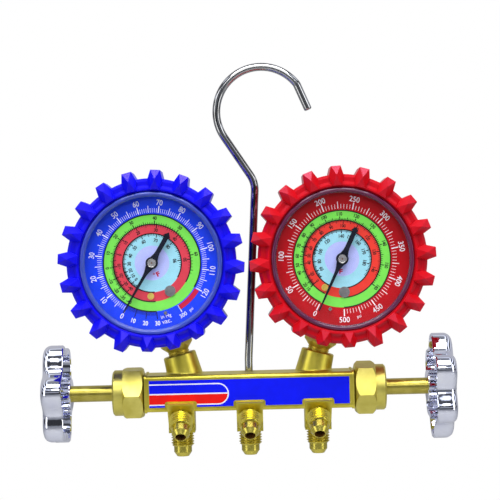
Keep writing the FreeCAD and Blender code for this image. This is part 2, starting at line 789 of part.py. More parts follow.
def knob(tip_reach):
    """One moulded grip on the boot's rim at the top, with four flat facets up to a peak."""
    def corner(radius, half_width, y, side):
        return Vector(side * half_width, y, radius)

    tip_radius = boot_radius + tip_reach
    peak = Vector(0, -knob_peak_front, knob_peak_radius)
    tip = [corner(tip_radius, knob_tip_half_width, -knob_tip_front, side) for side in (-1, 1)]
    foot = [corner(knob_foot_radius, knob_foot_half_width, -knob_foot_front, side) for side in (-1, 1)]
    across = (tip[1] - peak).cross(foot[1] - peak)
    wide_front = peak.y - (across.x * knob_wide_half_width
                           + across.z * (knob_wide_radius - knob_peak_radius)) / across.y
    wide = [corner(knob_wide_radius, knob_wide_half_width, wide_front, side) for side in (-1, 1)]
    tip_back = [corner(tip_radius, knob_tip_half_width, knob_tip_back, side) for side in (-1, 1)]
    wide_back = [corner(knob_wide_radius, knob_wide_half_width, knob_back, side) for side in (-1, 1)]
    foot_back = [corner(knob_foot_radius, knob_foot_half_width, knob_back, side) for side in (-1, 1)]
    outlines = [
        [peak, foot[1], foot[0]],
        [peak, tip[0], tip[1]],
        [tip[0], tip_back[0], tip_back[1], tip[1]],
        [foot[0], foot[1], foot_back[1], foot_back[0]],
        [wide_back[0], wide_back[1], foot_back[1], foot_back[0]],
        [tip_back[0], tip_back[1], wide_back[1], wide_back[0]],
    ]
    for side in (0, 1):
        outlines.append([peak, tip[side], wide[side], foot[side]])
        outlines.append([tip[side], wide[side], wide_back[side], tip_back[side]])
        outlines.append([wide[side], foot[side], foot_back[side], wide_back[side]])
    faces = [Part.Face(Part.makePolygon(points + points[:1])) for points in outlines]
    return Part.Solid(Part.makeShell(faces))


def gauge_boot():
    """Moulded rubber ring round the case with a row of grips."""
    bore = case_radius + boot_gap
    rear_radius = boot_radius - boot_step
    face = boot_face_drop - boot_front
    ring = revolved([
        Vector(bore, case_back + boot_gap, 0),
        Vector(boot_back_lip_radius, case_back + boot_gap, 0),
        Vector(boot_back_lip_radius, boot_back, 0),
        Vector(rear_radius - boot_back_bevel, boot_back, 0),
        Vector(rear_radius, boot_back - boot_back_bevel, 0),
        Vector(rear_radius, boot_step_back + boot_step / 2, 0),
        Vector(boot_radius, boot_step_back, 0),
        Vector(boot_radius, face + boot_front_bevel, 0),
        Vector(boot_radius - boot_front_bevel, face, 0),
        Vector(boot_lip_radius + boot_lip_width + boot_face_drop, face, 0),
        Vector(boot_lip_radius + boot_lip_width, -boot_front, 0),
        Vector(boot_lip_radius + boot_lip_bevel, -boot_front, 0),
        Vector(boot_lip_radius, boot_lip_bevel - boot_front, 0),
        Vector(boot_lip_radius, boot_lip_depth - boot_front, 0),
        Vector(bore, boot_lip_depth - boot_front, 0),
    ], Y_AXIS)
    grips = []
    for index in range(knob_count):
        steps_from_stem = abs(index - knob_count / 2)
        at_stem = steps_from_stem <= (knobs_at_stem - 1) / 2
        grip = knob(knob_tip_reach_at_stem if at_stem else knob_tip_reach)
        grip.rotate(Vector(0, 0, 0), Y_AXIS, index * 360 / knob_count)
        grips.append(grip)
    hole_top = Vector(0, 0, boot_stem_hole_radius - knob_foot_radius)
    stem_hole = rod(boot_stem_hole_radius, hole_top, Vector(0, 0, -2 * boot_radius))
    bore_again = rod(bore, Vector(0, case_back, 0), Vector(0, -2 * boot_front, 0))
    return ring.multiFuse(grips).cut([stem_hole, bore_again])


def gauge_lens():
    """Clear moulded cover: raised rim, flat window and a skirt inside the case."""
    case_bore = case_radius - case_wall
    flange_back = -case_front - lens_gasket_thickness
    skirt_radius = case_bore - skirt_gap
    return revolved([
        Vector(0, -lens_window_front, 0),
        Vector(lens_window_radius - lens_rim_round, -lens_window_front, 0),
        Vector(lens_window_radius, -lens_window_front - lens_rim_round, 0),
        Vector(lens_window_radius + lens_rim_round, -lens_front, 0),
        Vector(lens_radius - lens_rim_round, -lens_front, 0),
        Vector(lens_radius, lens_rim_round - lens_front, 0),
        Vector(lens_radius, flange_back, 0),
        Vector(skirt_radius, flange_back, 0),
        Vector(skirt_radius, lens_skirt_length - case_front, 0),
        Vector(lens_window_radius, lens_skirt_length - case_front, 0),
        Vector(lens_window_radius, lens_window_thickness - lens_window_front, 0),
        Vector(0, lens_window_thickness - lens_window_front, 0),
    ], Y_AXIS)


def lens_gasket():
    front = Vector(0, -case_front - lens_gasket_thickness, 0)
    back = Vector(0, -case_front, 0)
    return rod(lens_radius, front, back).cut(rod(case_radius - case_wall, front, back))


def dial_screw_place(y):
    return around(dial_screw_distance, 180 + dial_screw_angle, y)


def zero_screw_place(y):
    return around(dial_screw_distance, 180 - dial_screw_angle, y)


def through_dial(radius, place):
    """A round hole through the dial at a place given for its front face."""
    return rod(radius, place - Y_AXIS, place + Y_AXIS * (dial_thickness + 1))


def gauge_dial():
    front = Vector(0, -dial_front, 0)
    disc = rod(dial_radius, front, front + Y_AXIS * dial_thickness)
    return disc.cut([
        through_dial(arbor_radius + 4 * fit_gap, front),
        through_dial(dial_screw_radius + press_gap, dial_screw_place(-dial_front)),
        through_dial(zero_screw_radius + fit_gap, zero_screw_place(-dial_front)),
        through_dial(stop_pin_radius + press_gap, around(stop_pin_distance, 180, -dial_front)),
    ])


def dial_screw():
    seat = dial_screw_place(-dial_front)
    head = rod(dial_screw_head_radius, seat - Y_AXIS * dial_screw_head_height, seat)
    shank_end = dial_screw_place(-front_plate_front)
    return head.fuse(rod(dial_screw_radius, seat - Y_AXIS * dial_screw_head_height / 2, shank_end))


def zero_screw():
    seat = zero_screw_place(-dial_front - fit_gap)
    head_front = seat - Y_AXIS * zero_screw_head_height
    screw = rod(zero_screw_head_radius, head_front, seat).fuse(
        rod(zero_screw_radius, head_front, seat + Y_AXIS * zero_screw_length))
    slot = box(head_front - Vector(zero_screw_head_radius, 1, zero_screw_slot_width / 2),
               head_front + Vector(zero_screw_head_radius, zero_screw_slot_depth, zero_screw_slot_width / 2))
    return screw.cut(slot)


def stop_pin():
    seat = around(stop_pin_distance, 180, -dial_front + dial_thickness)
    return rod(stop_pin_radius, seat - Y_AXIS * (dial_thickness + stop_pin_length), seat)


def pointer(name):
    """Thin needle with an arrow-shaped counterweight tail and a round hub."""
    front = -pointer_front
    barb_start = pointer_barb_length - pointer_tail_length
    right_edge = [
        (pointer_tip_half_width, pointer_length),
        (pointer_needle_half_width, pointer_flare_length),
        (pointer_flare_half_width, 0),
        (pointer_tail_half_width, -pointer_flare_length),
        (pointer_tail_half_width, barb_start),
        (pointer_barb_half_width, barb_start),
        (0, -pointer_tail_length),
    ]
    outline = [Vector(x, front, z) for x, z in right_edge]
    outline += [Vector(-x, front, z) for x, z in right_edge[-2::-1]]
    hub_front = front - (pointer_hub_height - pointer_thickness) / 2
    hub = rod(pointer_hub_radius, Vector(0, hub_front, 0), Vector(0, hub_front + pointer_hub_height, 0))
    bore = rod(arbor_radius + press_gap, Vector(0, hub_front - 1, 0), Vector(0, 0, 0))
    needle = extruded(outline, Y_AXIS * pointer_thickness).fuse(hub).cut(bore)
    needle.rotate(Vector(0, 0, 0), Y_AXIS, zero_angle[name])
    return needle


# Movement: involute pinion and toothed sector, hairspring and plates

def involute_flank(base_radius, root_radius, tip_radius):
    """Points of one tooth flank as radius and angle from the flank's own start."""
    flank = []
    if root_radius < base_radius:
        flank.append((root_radius, 0.0))
    steps = 3
    start = max(root_radius, base_radius)
    for step in range(steps + 1):
        radius = start + (tip_radius - start) * step / steps
        roll = math.sqrt(max((radius / base_radius) ** 2 - 1, 0))
        flank.append((radius, roll - math.atan(roll)))
    return flank


def tooth(teeth, addendum, centre_angle, y):
    """Outline points of one tooth, from one root corner round to the other."""
    pitch_radius = gear_module * teeth / 2
    base_radius = pitch_radius * math.cos(math.radians(pressure_angle))
    root_radius = pitch_radius - gear_dedendum * gear_module
    tip_radius = pitch_radius + addendum * gear_module
    flank = involute_flank(base_radius, root_radius, tip_radius)
    roll = math.tan(math.radians(pressure_angle)) - math.radians(pressure_angle)
    half_tooth = math.pi / (2 * teeth) - tooth_thinning / (2 * pitch_radius) + roll
    before = [around(radius, centre_angle - math.degrees(half_tooth - turn), y) for radius, turn in flank]
    after = [around(radius, centre_angle + math.degrees(half_tooth - turn), y) for radius, turn in flank]
    return before + after[::-1]


def arbor():
    """Pointer's spindle with its pinion, collet and end cap."""
    gap = 180 + 180 / pinion_teeth
    outline = []
    for index in range(pinion_teeth):
        outline += tooth(pinion_teeth, pinion_addendum, gap + index * 360 / pinion_teeth, -pinion_front)
    pinion = extruded(outline, Y_AXIS * pinion_length)
    cap_back = -pointer_front - (pointer_hub_height - pointer_thickness) / 2
    spindle_end = plate_thickness - back_plate_front + arbor_end_past_plate
    spindle = rod(arbor_radius, Vector(0, cap_back - arbor_cap_height, 0), Vector(0, spindle_end, 0))
    cap = rod(arbor_cap_radius, Vector(0, cap_back - arbor_cap_height, 0), Vector(0, cap_back, 0))
    collet = rod(collet_radius, Vector(0, -collet_front, 0), Vector(0, collet_length - collet_front, 0))
    return spindle.multiFuse([pinion, cap, collet])


def sector():
    """Toothed sector on its own spindle, with a tail for the link."""
    front = -sector_front
    pitch = 360 / sector_full_teeth
    root_radius = sector_pitch_radius - gear_dedendum * gear_module
    rim_inner = root_radius - sector_rim_width
    first = -sector_teeth_before
    last = sector_teeth_after
    outline = [around(rim_inner, (first - 0.5) * pitch, front),
               around(root_radius, (first - 0.5) * pitch, front)]
    for index in range(first, last + 1):
        outline += tooth(sector_full_teeth, sector_addendum, index * pitch, front)
    outline.append(around(root_radius, (last + 0.5) * pitch, front))
    for index in range(last, first - 1, -1):
        outline.append(around(rim_inner, (index + 0.5) * pitch, front))
    thickness = Y_AXIS * sector_thickness
    rim = extruded(outline, thickness)
    middle = (first + last) / 2 * pitch
    arm_end = around(rim_inner + sector_rim_width / 2, middle, front)
    arm = extruded([
        around(sector_arm_half_width, middle - quarter_turn, front),
        arm_end + around(sector_arm_half_width, middle - quarter_turn),
        arm_end + around(sector_arm_half_width, middle + quarter_turn),
        around(sector_arm_half_width, middle + quarter_turn, front),
    ], thickness)
    tail_end = around(sector_tail_length, sector_tail_angle, front)
    tail = extruded([
        around(sector_arm_half_width, sector_tail_angle - quarter_turn, front),
        tail_end + around(sector_arm_half_width, sector_tail_angle - quarter_turn),
        tail_end + around(sector_arm_half_width, sector_tail_angle + quarter_turn),
        around(sector_arm_half_width, sector_tail_angle + quarter_turn, front),
    ], thickness)
    hub = rod(sector_hub_radius, Vector(0, front, 0), Vector(0, front, 0) + thickness)
    eye = rod(link_eye_radius, tail_end, tail_end + thickness)
    pin = rod(arbor_radius, tail_end, tail_end + Y_AXIS * (sector_thickness + sector_tail_pin_length))
    spindle_front = -front_plate_front - arbor_end_past_plate
    spindle_back = plate_thickness - back_plate_front + arbor_end_past_plate
    spindle = rod(arbor_radius, Vector(0, spindle_front, 0), Vector(0, spindle_back, 0))
    whole = rim.multiFuse([arm, tail, hub, eye, pin, spindle])
    whole.translate(Vector(0, 0, -sector_pivot_drop))
    return whole


def hairspring():
    """Flat spiral ribbon from the collet out to its stud."""
    count = hairspring_turns * hairspring_steps
    inner_radius = collet_radius + press_gap

    def ribbon(offset):
        points = []
        for step in range(count + 1):
            radius = inner_radius + (hairspring_outer_radius - inner_radius) * step / count + offset
            points.append(around(radius, step * 360 / hairspring_steps, -hairspring_front))
        return points

    outline = ribbon(0.0) + ribbon(hairspring_thickness)[::-1]
    return extruded(outline, Y_AXIS * hairspring_width)


def pillar_places(y):
    """Places of the pillars that hold the two plates apart."""
    reach = plate_half_width - pillar_inset
    return [
        Vector(-reach, y, plate_top - pillar_inset),
        Vector(reach, y, plate_top - pillar_inset),
        Vector(-reach, y, pillar_inset - plate_bottom),
        Vector(reach, y, pillar_inset - plate_bottom),
    ]


def movement_frame():
    """Front and back plate, their pillars, the dial's posts and the spring's stud."""
    plates = []
    for front in (front_plate_front, back_plate_front):
        plates.append(box(Vector(-plate_half_width, -front, -plate_bottom),
                          Vector(plate_half_width, plate_thickness - front, plate_top)))
    front_back = plate_thickness - front_plate_front
    pieces = [rod(pillar_radius, place, place + Y_AXIS * (-front_back - back_plate_front))
              for place in pillar_places(front_back)]
    post_run = Y_AXIS * (dial_front - dial_thickness - front_plate_front)
    dial_back = dial_thickness - dial_front
    for foot in (dial_screw_place(dial_back), Vector(0, dial_back, dial_post_height - pillar_inset)):
        pieces.append(rod(dial_post_radius, foot, foot + post_run))
    stud_distance = hairspring_outer_radius + hairspring_thickness + stud_gap + stud_radius
    stud_front = around(stud_distance, 0, -hairspring_front)
    pieces.append(rod(stud_radius, stud_front, around(stud_distance, 0, -back_plate_front)))
    pivot = Vector(0, 0, -sector_pivot_drop)
    clear_radius = arbor_radius + fit_gap
    frame = plates[0].multiFuse([plates[1]] + pieces)
    hole_start = Y_AXIS * -(front_plate_front + 1)
    hole_end = Vector(0, 0, 0)
    return frame.cut([
        rod(clear_radius, hole_start, hole_end),
        rod(clear_radius, pivot + hole_start, pivot + hole_end),
        rod(dial_screw_radius + press_gap,
            dial_screw_place(-dial_front), dial_screw_place(-front_plate_front)),
    ])


# Link, tube and socket

def tail_pin_place(y):
    return around(sector_tail_length, sector_tail_angle, y) - Vector(0, 0, sector_pivot_drop)


def tip_pin_place(y):
    """The eye on the lug, inward of the tube and just past its end."""
    end_angle = tube_start_angle() + tube_sweep
    along = around(tube_centre_radius - tip_lug_reach / 2, end_angle, y)
    return along + around(tip_length - tip_lug_height / 2, end_angle + 90)


def link():
    start = tail_pin_place(-link_front)
    end = tip_pin_place(-link_front)
    run = (end - start).normalize()
    across = Vector(run.z, 0, -run.x) * link_half_width
    thickness = Y_AXIS * link_thickness
    bar = extruded([start + across, end + across, end - across, start - across], thickness)
    eyes = [rod(link_eye_radius, place, place + thickness) for place in (start, end)]
    hole = rod(arbor_radius + fit_gap, start - thickness, start + 2 * thickness)
    return bar.multiFuse(eyes).cut(hole)


def tube_start_angle():
    """Where the tube leaves the left face of the socket block."""
    inner_radius = tube_centre_radius - tube_half_thickness
    return 180 + math.degrees(math.asin(socket_block_width / 2 / inner_radius))


def oval(half_thickness, half_breadth):
    """The tube's flat oval section, upright above the gauge's axis."""
    middle = Vector(0, tube_middle_depth, tube_centre_radius)
    straight = half_breadth - half_thickness
    corner = [middle + Vector(0, y, z) for y, z in (
        (-straight, -half_thickness), (straight, -half_thickness),
        (straight, half_thickness), (-straight, half_thickness))]
    edges = [
        Part.makeLine(corner[0], corner[1]),
        Part.Arc(corner[1], middle + Vector(0, half_breadth, 0), corner[2]).toShape(),
        Part.makeLine(corner[2], corner[3]),
        Part.Arc(corner[3], middle - Vector(0, half_breadth, 0), corner[0]).toShape(),
    ]
    return Part.Face(Part.Wire(edges))


def bourdon_tube():
    section = oval(tube_half_thickness, tube_half_breadth).cut(
        oval(tube_half_thickness - tube_wall, tube_half_breadth - tube_wall))
    section.rotate(Vector(0, 0, 0), Y_AXIS, tube_start_angle())
    return section.revolve(Vector(0, 0, 0), Y_AXIS, tube_sweep)


def tube_tip():
    """Cap that closes the tube's free end, with a lug for the link."""
    half_height = tube_half_thickness + tip_wall
    low = tube_middle_depth - tube_half_breadth - tip_wall
    high = tube_middle_depth + tube_half_breadth + tip_wall
    cap = box(Vector(0, low, tube_centre_radius - half_height),
              Vector(tip_length, high, tube_centre_radius + half_height))
    lug_front = link_thickness + link_lug_gap - link_front
    lug = box(Vector(tip_length - tip_lug_height, lug_front, tube_centre_radius - tip_lug_reach),
              Vector(tip_length, low + tip_wall, tube_centre_radius))
    whole = cap.fuse(lug)
    whole.rotate(Vector(0, 0, 0), Y_AXIS, tube_start_angle() + tube_sweep)
    hole = rod(arbor_radius + fit_gap, tip_pin_place(lug_front - 1), tip_pin_place(low))
    return whole.cut(hole)


def socket():
    """Stem with hexagon and thread below the case, and the block inside it."""
    half_width = socket_block_width / 2
    block_back = case_back - case_wall
    block_front = plate_thickness - back_plate_front
    block = box(Vector(-half_width, block_front, -socket_block_bottom),
                Vector(half_width, block_back, -socket_block_top))
    neck = rod(socket_neck_radius, Vector(0, 0, -socket_hex_start), Vector(0, 0, -socket_block_bottom + 1))
    corner_radius = socket_hex_flats / math.sqrt(3)
    angles = [math.radians(60 * corner) for corner in range(6)]
    corners = [Vector(corner_radius * math.cos(angle), corner_radius * math.sin(angle), -socket_hex_start)
               for angle in angles]
    hexagon = extruded(corners, Vector(0, 0, socket_hex_start - socket_hex_end))
    cone_height = (corner_radius - socket_cone_radius) / socket_cone_slope
    limits = revolved([
        Vector(0, 0, -socket_hex_start),
        Vector(corner_radius, 0, -socket_hex_start),
        Vector(corner_radius, 0, cone_height - socket_hex_end),
        Vector(socket_cone_radius, 0, -socket_hex_end),
        Vector(0, 0, -socket_hex_end),
    ], Z_AXIS)
    thread_end = -(gauge_distance - boss_top_distance) - socket_thread_length
    thread = rod(gauge_thread_radius, Vector(0, 0, -socket_hex_end), Vector(0, 0, thread_end))
    middle = Vector(0, tube_middle_depth, -tube_centre_radius)
    cuts = [
        rod(socket_bore_radius, Vector(0, 0, thread_end), Vector(0, 0, -tube_centre_radius)),
        rod(socket_bore_radius, middle, middle - X_AXIS * half_width),
    ]
    for place in case_screw_places(case_back):
        end = place - Y_AXIS * (case_screw_length + fit_gap)
        cuts.append(rod(case_screw_radius + press_gap, end, place))
    return block.multiFuse([neck, hexagon.common(limits), thread]).cut(cuts)


def on_gauge(shape, side):
    """A gauge piece leaned outward and set on its boss."""
    moved = shape.copy()
    moved.rotate(Vector(0, 0, 0), Y_AXIS, side * math.degrees(lean[side]))
    foot, direction = boss_axis(side)
    moved.translate(foot + direction * gauge_distance)
    return moved


def gauge_pieces(name, side):
    upright = {
        "gauge_case": gauge_case(),
        "case_screws": case_screws(),
        "gauge_boot": gauge_boot(),
        "gauge_lens": gauge_lens(),
        "lens_gasket": lens_gasket(),
        "gauge_dial": gauge_dial(),
        "dial_screw": dial_screw(),
        "zero_screw": zero_screw(),
        "stop_pin": stop_pin(),
        "pointer": pointer(name),
        "pointer_arbor": arbor(),
        "hairspring": hairspring(),
        "toothed_sector": sector(),
        "movement_frame": movement_frame(),
        "sector_link": link(),
        "bourdon_tube": bourdon_tube(),
        "tube_tip": tube_tip(),
        "gauge_socket": socket(),
    }
    return {name + "_" + piece: on_gauge(shape, side) for piece, shape in upright.items()}


def valve_pieces(name, side):
    return {
        name + "_bonnet": bonnet(name, side),
        name + "_bonnet_gasket": bonnet_gasket(side),
        name + "_valve_stem": valve_stem(side),
        name + "_stem_o_ring": stem_o_ring(side),
        name + "_seat_disc": seat_disc(side),
        name + "_handwheel": handwheel(name, side),
        name + "_wheel_screw": wheel_screw(side),
    }


def all_pieces():
    pieces = {
        "manifold_body": manifold_body(),
        "front_label": front_label(),
        "hook": hook(),
        "hook_grub_screw": hook_grub_screw(),
    }
    for name, x in (("low", -port_spacing), ("centre", 0.0), ("high", port_spacing)):
        pieces[name + "_hose_nipple"] = hose_nipple(x)
        pieces[name + "_park_nipple"] = park_nipple(x)
    for name, side in (("low", -1), ("high", 1)):
        pieces.update(valve_pieces(name, side))
        pieces.update(gauge_pieces(name, side))
    return pieces


# Every piece moves so that the hook's hanging point is the frame's origin
os.makedirs("parts", exist_ok=True)
for node, shape in all_pieces().items():
    shape.translate(-hang_point)
    shape.exportStep("parts/" + node + ".step")
print("hanging point above the bar's axis", round(hang_height, 3))
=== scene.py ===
import bmesh
import bpy
import math
from mathutils import Matrix, Vector


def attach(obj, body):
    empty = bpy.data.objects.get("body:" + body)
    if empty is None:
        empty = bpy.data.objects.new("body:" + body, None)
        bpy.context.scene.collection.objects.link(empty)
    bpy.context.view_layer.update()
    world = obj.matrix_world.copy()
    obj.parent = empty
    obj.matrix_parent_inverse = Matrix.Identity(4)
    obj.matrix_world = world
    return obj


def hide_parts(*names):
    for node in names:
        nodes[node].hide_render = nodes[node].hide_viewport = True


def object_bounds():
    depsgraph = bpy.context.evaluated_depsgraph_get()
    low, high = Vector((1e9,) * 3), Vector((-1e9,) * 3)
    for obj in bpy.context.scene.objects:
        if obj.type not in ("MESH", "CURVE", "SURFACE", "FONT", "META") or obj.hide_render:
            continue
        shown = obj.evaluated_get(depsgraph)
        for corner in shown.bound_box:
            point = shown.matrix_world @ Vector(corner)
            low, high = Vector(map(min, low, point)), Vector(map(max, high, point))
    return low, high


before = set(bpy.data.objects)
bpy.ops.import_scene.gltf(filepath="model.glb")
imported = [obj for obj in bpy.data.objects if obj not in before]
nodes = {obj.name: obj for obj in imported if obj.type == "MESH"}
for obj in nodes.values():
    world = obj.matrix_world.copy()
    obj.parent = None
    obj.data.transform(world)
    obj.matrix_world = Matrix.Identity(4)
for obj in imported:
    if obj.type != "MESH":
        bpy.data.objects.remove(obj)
cad_low, cad_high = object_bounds()

# The studio: the gauge set hangs in front of white, over a pale floor that lights it but
# stays out of the picture, with soft boxes round it and a banded room for the chrome to mirror.
MM = 0.001
bar_axis = Vector((0.0, -7.4 * MM, -154.183 * MM))
camera_side = 2.0 * MM
camera_rise = 68.2 * MM
camera_distance = 700.0 * MM
camera_roll = math.radians(-1.4)
focal_in_frame_widths = 1435.0 / 500.0
sensor_width = 36.0
lamp_aim_rise = 50.0 * MM
floor_drop = 260.0 * MM
floor_half_width = 3.0
paper_tone = 0.52
paper_roughness = 0.9
room_tint = (0.84, 0.88, 1.0)
room_front_tone = (0.5, 0.5, 0.54)
room_front_reach = 0.55
# Each level of the room is a height, from 0 below the set to 1 above it, and a brightness.
room_levels = [
    (0.0, 0.30), (0.38, 0.26), (0.40, 0.05), (0.43, 0.05), (0.45, 0.30), (0.47, 0.30), (0.49, 0.04),
    (0.54, 0.04), (0.57, 0.40), (0.60, 0.40), (0.62, 0.05), (0.67, 0.06), (0.69, 1.3), (0.72, 1.3),
    (0.74, 0.10), (0.83, 0.10), (0.845, 1.6), (0.875, 1.6), (0.89, 0.10), (0.945, 0.10), (0.955, 1.4),
    (0.97, 1.4), (0.985, 0.25), (1.0, 0.25),
]

camera_data = bpy.data.cameras.new("camera")
camera_data.sensor_width = sensor_width
camera_data.lens = focal_in_frame_widths * sensor_width
camera = bpy.data.objects.new("camera", camera_data)
camera.location = bar_axis + Vector((camera_side, -camera_distance, camera_rise))
camera.rotation_mode = "QUATERNION"
level_view = Matrix.Rotation(math.radians(90.0), 4, "X")
camera.rotation_quaternion = (level_view @ Matrix.Rotation(camera_roll, 4, "Z")).to_quaternion()
bpy.context.scene.collection.objects.link(camera)
bpy.context.scene.camera = camera
bpy.context.scene.view_settings.view_transform = "Standard"


def new_material(name, colour, metal, roughness, gloss=0.5):
    """A material whose plain values sit on the shader's own sockets."""
    made = bpy.data.materials.new(name)
    made.use_nodes = True
    shade = made.node_tree.nodes["Principled BSDF"]
    shade.inputs["Base Color"].default_value = (*colour, 1.0)
    shade.inputs["Metallic"].default_value = metal
    shade.inputs["Roughness"].default_value = roughness
    shade.inputs["Specular IOR Level"].default_value = gloss
    return made


def add_node(tree, kind, values=None):
    """A new shader node of this kind, with plain values on the inputs that are named."""
    node = tree.nodes.new("ShaderNode" + kind)
    for entry, value in (values or {}).items():
        node.inputs[entry].default_value = value
    return node


def wire(tree, *links):
    """Links between nodes, each one given as a node, its output, the next node and its input."""
    for source, output, target, entry in links:
        tree.links.new(source.outputs[output], target.inputs[entry])


floor_z = cad_low.z - floor_drop
floor_mesh = bpy.data.meshes.new("studio_floor")
floor_corners = [
    (x * floor_half_width, y * floor_half_width, floor_z)
    for x, y in ((-1, -1), (1, -1), (1, 1), (-1, 1))
]
floor_mesh.from_pydata(floor_corners, [], [(0, 1, 2, 3)])
floor_mesh.materials.append(new_material("studio_paper", (paper_tone,) * 3, 0.0, paper_roughness))
floor = bpy.data.objects.new("studio_floor", floor_mesh)
floor.visible_camera = False
bpy.context.scene.collection.objects.link(floor)

world = bpy.data.worlds.new("studio_room")
bpy.context.scene.world = world
world.use_nodes = True
room = world.node_tree
room_light = room.nodes["Background"]
room_seen = add_node(room, "Background", {"Color": (1.0, 1.0, 1.0, 1.0)})
room_mix = add_node(room, "MixShader")
room_path = add_node(room, "LightPath")
room_place = add_node(room, "TexCoord")
room_split = add_node(room, "SeparateXYZ")
room_height = add_node(room, "MapRange", {"From Min": -1.0})
room_rise = add_node(room, "ValToRGB")
room_depth = add_node(room, "MapRange", {"From Max": room_front_reach})
room_tone = add_node(room, "MixRGB", {"Color2": (*room_front_tone, 1.0)})
wire(
    room,
    (room_place, "Generated", room_split, "Vector"),
    (room_split, "Z", room_height, "Value"),
    (room_height, "Result", room_rise, "Fac"),
    (room_split, "Y", room_depth, "Value"),
    (room_depth, "Result", room_tone, "Fac"),
    (room_rise, "Color", room_tone, "Color1"),
    (room_tone, "Color", room_light, "Color"),
    (room_path, "Is Camera Ray", room_mix, "Fac"),
    (room_light, "Background", room_mix, 1),
    (room_seen, "Background", room_mix, 2),
    (room_mix, "Shader", room.nodes["World Output"], "Surface"),
)
for position, _ in room_levels[2:]:
    room_rise.color_ramp.elements.new(position)
for stop, (position, level) in zip(room_rise.color_ramp.elements, room_levels):
    stop.position = position
    stop.color = (*(level * part for part in room_tint), 1.0)


def soft_box(name, place, width, height, power):
    """A rectangular soft box that faces the middle of the gauge set."""
    lamp = bpy.data.lights.new(name, "AREA")
    lamp.shape = "RECTANGLE"
    lamp.size = width
    lamp.size_y = height
    lamp.energy = power
    box = bpy.data.objects.new(name, lamp)
    box.location = bar_axis + Vector(place)
    middle = bar_axis + Vector((0.0, 0.0, lamp_aim_rise))
    box.rotation_euler = (middle - box.location).to_track_quat("-Z", "Y").to_euler()
    bpy.context.scene.collection.objects.link(box)


soft_box("left_soft_box", (-0.85, -0.55, 0.25), width=0.3, height=0.9, power=2.0)
soft_box("right_soft_box", (0.85, -0.55, 0.25), width=0.3, height=0.9, power=2.0)
soft_box("top_soft_box", (0.0, -0.45, 0.85), width=0.9, height=0.35, power=9.0)
soft_box("front_soft_box", (0.0, -1.2, 0.6), width=0.7, height=0.2, power=2.2)


# The manifold bar is one hot brass forging with three port blocks and two gauge bosses,
# tumbled to a satin face; its flats are milled and every edge is lightly broken.
def worn_material(name, metal, patches, dark, light, roughness, gloss=0.5):
    """Uneven tone and polish, in patches of one noise laid over the piece's own coordinates."""
    smooth, rough = roughness
    made = new_material(name, light, metal, rough, gloss)
    tree = made.node_tree
    shade = tree.nodes["Principled BSDF"]
    place = add_node(tree, "TexCoord")
    noise = add_node(tree, "TexNoise", {"Scale": patches, "Detail": 6.0})
    polish = add_node(tree, "MapRange", {"To Min": smooth, "To Max": rough})
    tone = add_node(tree, "ValToRGB")
    for stop, position, colour in zip(tone.color_ramp.elements, (0.3, 0.7), (dark, light)):
        stop.position = position
        stop.color = (*colour, 1.0)
    wire(
        tree,
        (place, "Object", noise, "Vector"),
        (noise, "Fac", tone, "Fac"),
        (noise, "Fac", polish, "Value"),
        (tone, "Color", shade, "Base Color"),
        (polish, "Result", shade, "Roughness"),
    )
    return made


def grain(material, scale, height, stretch=(1.0, 1.0, 1.0)):
    """Fine raised grain, its height in millimetres, from noise stretched along the tool's way."""
    tree = material.node_tree
    place = add_node(tree, "TexCoord")
    lay = add_node(tree, "Mapping", {"Scale": stretch})
    noise = add_node(tree, "TexNoise", {"Scale": scale, "Detail": 5.0})
    bump = add_node(tree, "Bump", {"Distance": height * MM})
    wire(
        tree,
        (place, "Object", lay, "Vector"),
        (lay, "Vector", noise, "Vector"),
        (noise, "Fac", bump, "Height"),
        (bump, "Normal", tree.nodes["Principled BSDF"], "Normal"),
    )


def dress(node, material):
    """The CAD piece takes this material on every face."""
    mesh = nodes[node].data
    mesh.materials.clear()
    mesh.materials.append(material)


forged_brass = worn_material(
    "forged_brass", metal=1.0, patches=140.0,
    dark=(0.68, 0.58, 0.065), light=(0.84, 0.73, 0.11), roughness=(0.32, 0.46))
grain(forged_brass, scale=1400.0, height=0.02)
dress("manifold_body", forged_brass)


# Six quarter-inch flare nipples are turned from brass bar and pressed and soldered into
# the blocks: rolled thread of 20 turns to the inch, plain nose, flare cone and bore.
port_spacing = 33.0
block_drop = 19.4
slant_face_distance = 15.2
slant = Vector((0.0, -1.0, -1.0)).normalized()
flare_pitch = 25.4 / 20
flare_crest = 5.556
flare_root = 4.78
flare_nose_radius = 4.35
flare_lip_radius = 2.9
flare_bore_radius = 2.5
flare_bore_flare = 0.15
# Faces nearer the axis than this lie inside the bore and take its painted shade.
bore_shade_reach = flare_bore_radius + flare_bore_flare / 4
flare_cone_length = 2.1
flare_spigot_radius = 4.4
flare_spigot_length = 4.0
flare_thread_start = 0.6
bore_bottom_angle = math.radians(59.0)
nipple_kinds = {
    "hose": {"thread": 6.9, "nose": 2.9, "bore": None},
    "park": {"thread": 7.3, "nose": 3.5, "bore": 11.0},
}
weld_reach = 0.0005 * MM
turned_brass = worn_material(
    "turned_brass", metal=1.0, patches=200.0,
    dark=(0.60, 0.50, 0.075), light=(0.76, 0.66, 0.12), roughness=(0.22, 0.34))
grain(turned_brass, scale=1800.0, height=0.006)
# The inside of each bore takes a dark brown, half-metal copy of the brass: painted shade and reflection of
# the bore's own walls.
bore_painted_shade = worn_material(
    "bore_painted_shade", metal=0.4, patches=400.0,
    dark=(0.16, 0.065, 0.006), light=(0.24, 0.11, 0.014), roughness=(0.4, 0.5))


def thread_height(phase):
    """Share of the full height of a V thread, with a flat crest and a flat root."""
    flat = 1 / 8
    if phase < flat:
        return 1.0
    if phase < 0.5:
        return (0.5 - phase) / (0.5 - flat)
    if phase < 0.5 + flat:
        return 0.0
    return (phase - 0.5 - flat) / (0.5 - flat)


def on_circle(radius, turn, height):
    """A point round the Z axis, in metres, from a radius and a height in millimetres."""
    return radius * MM * math.cos(turn), radius * MM * math.sin(turn), height * MM


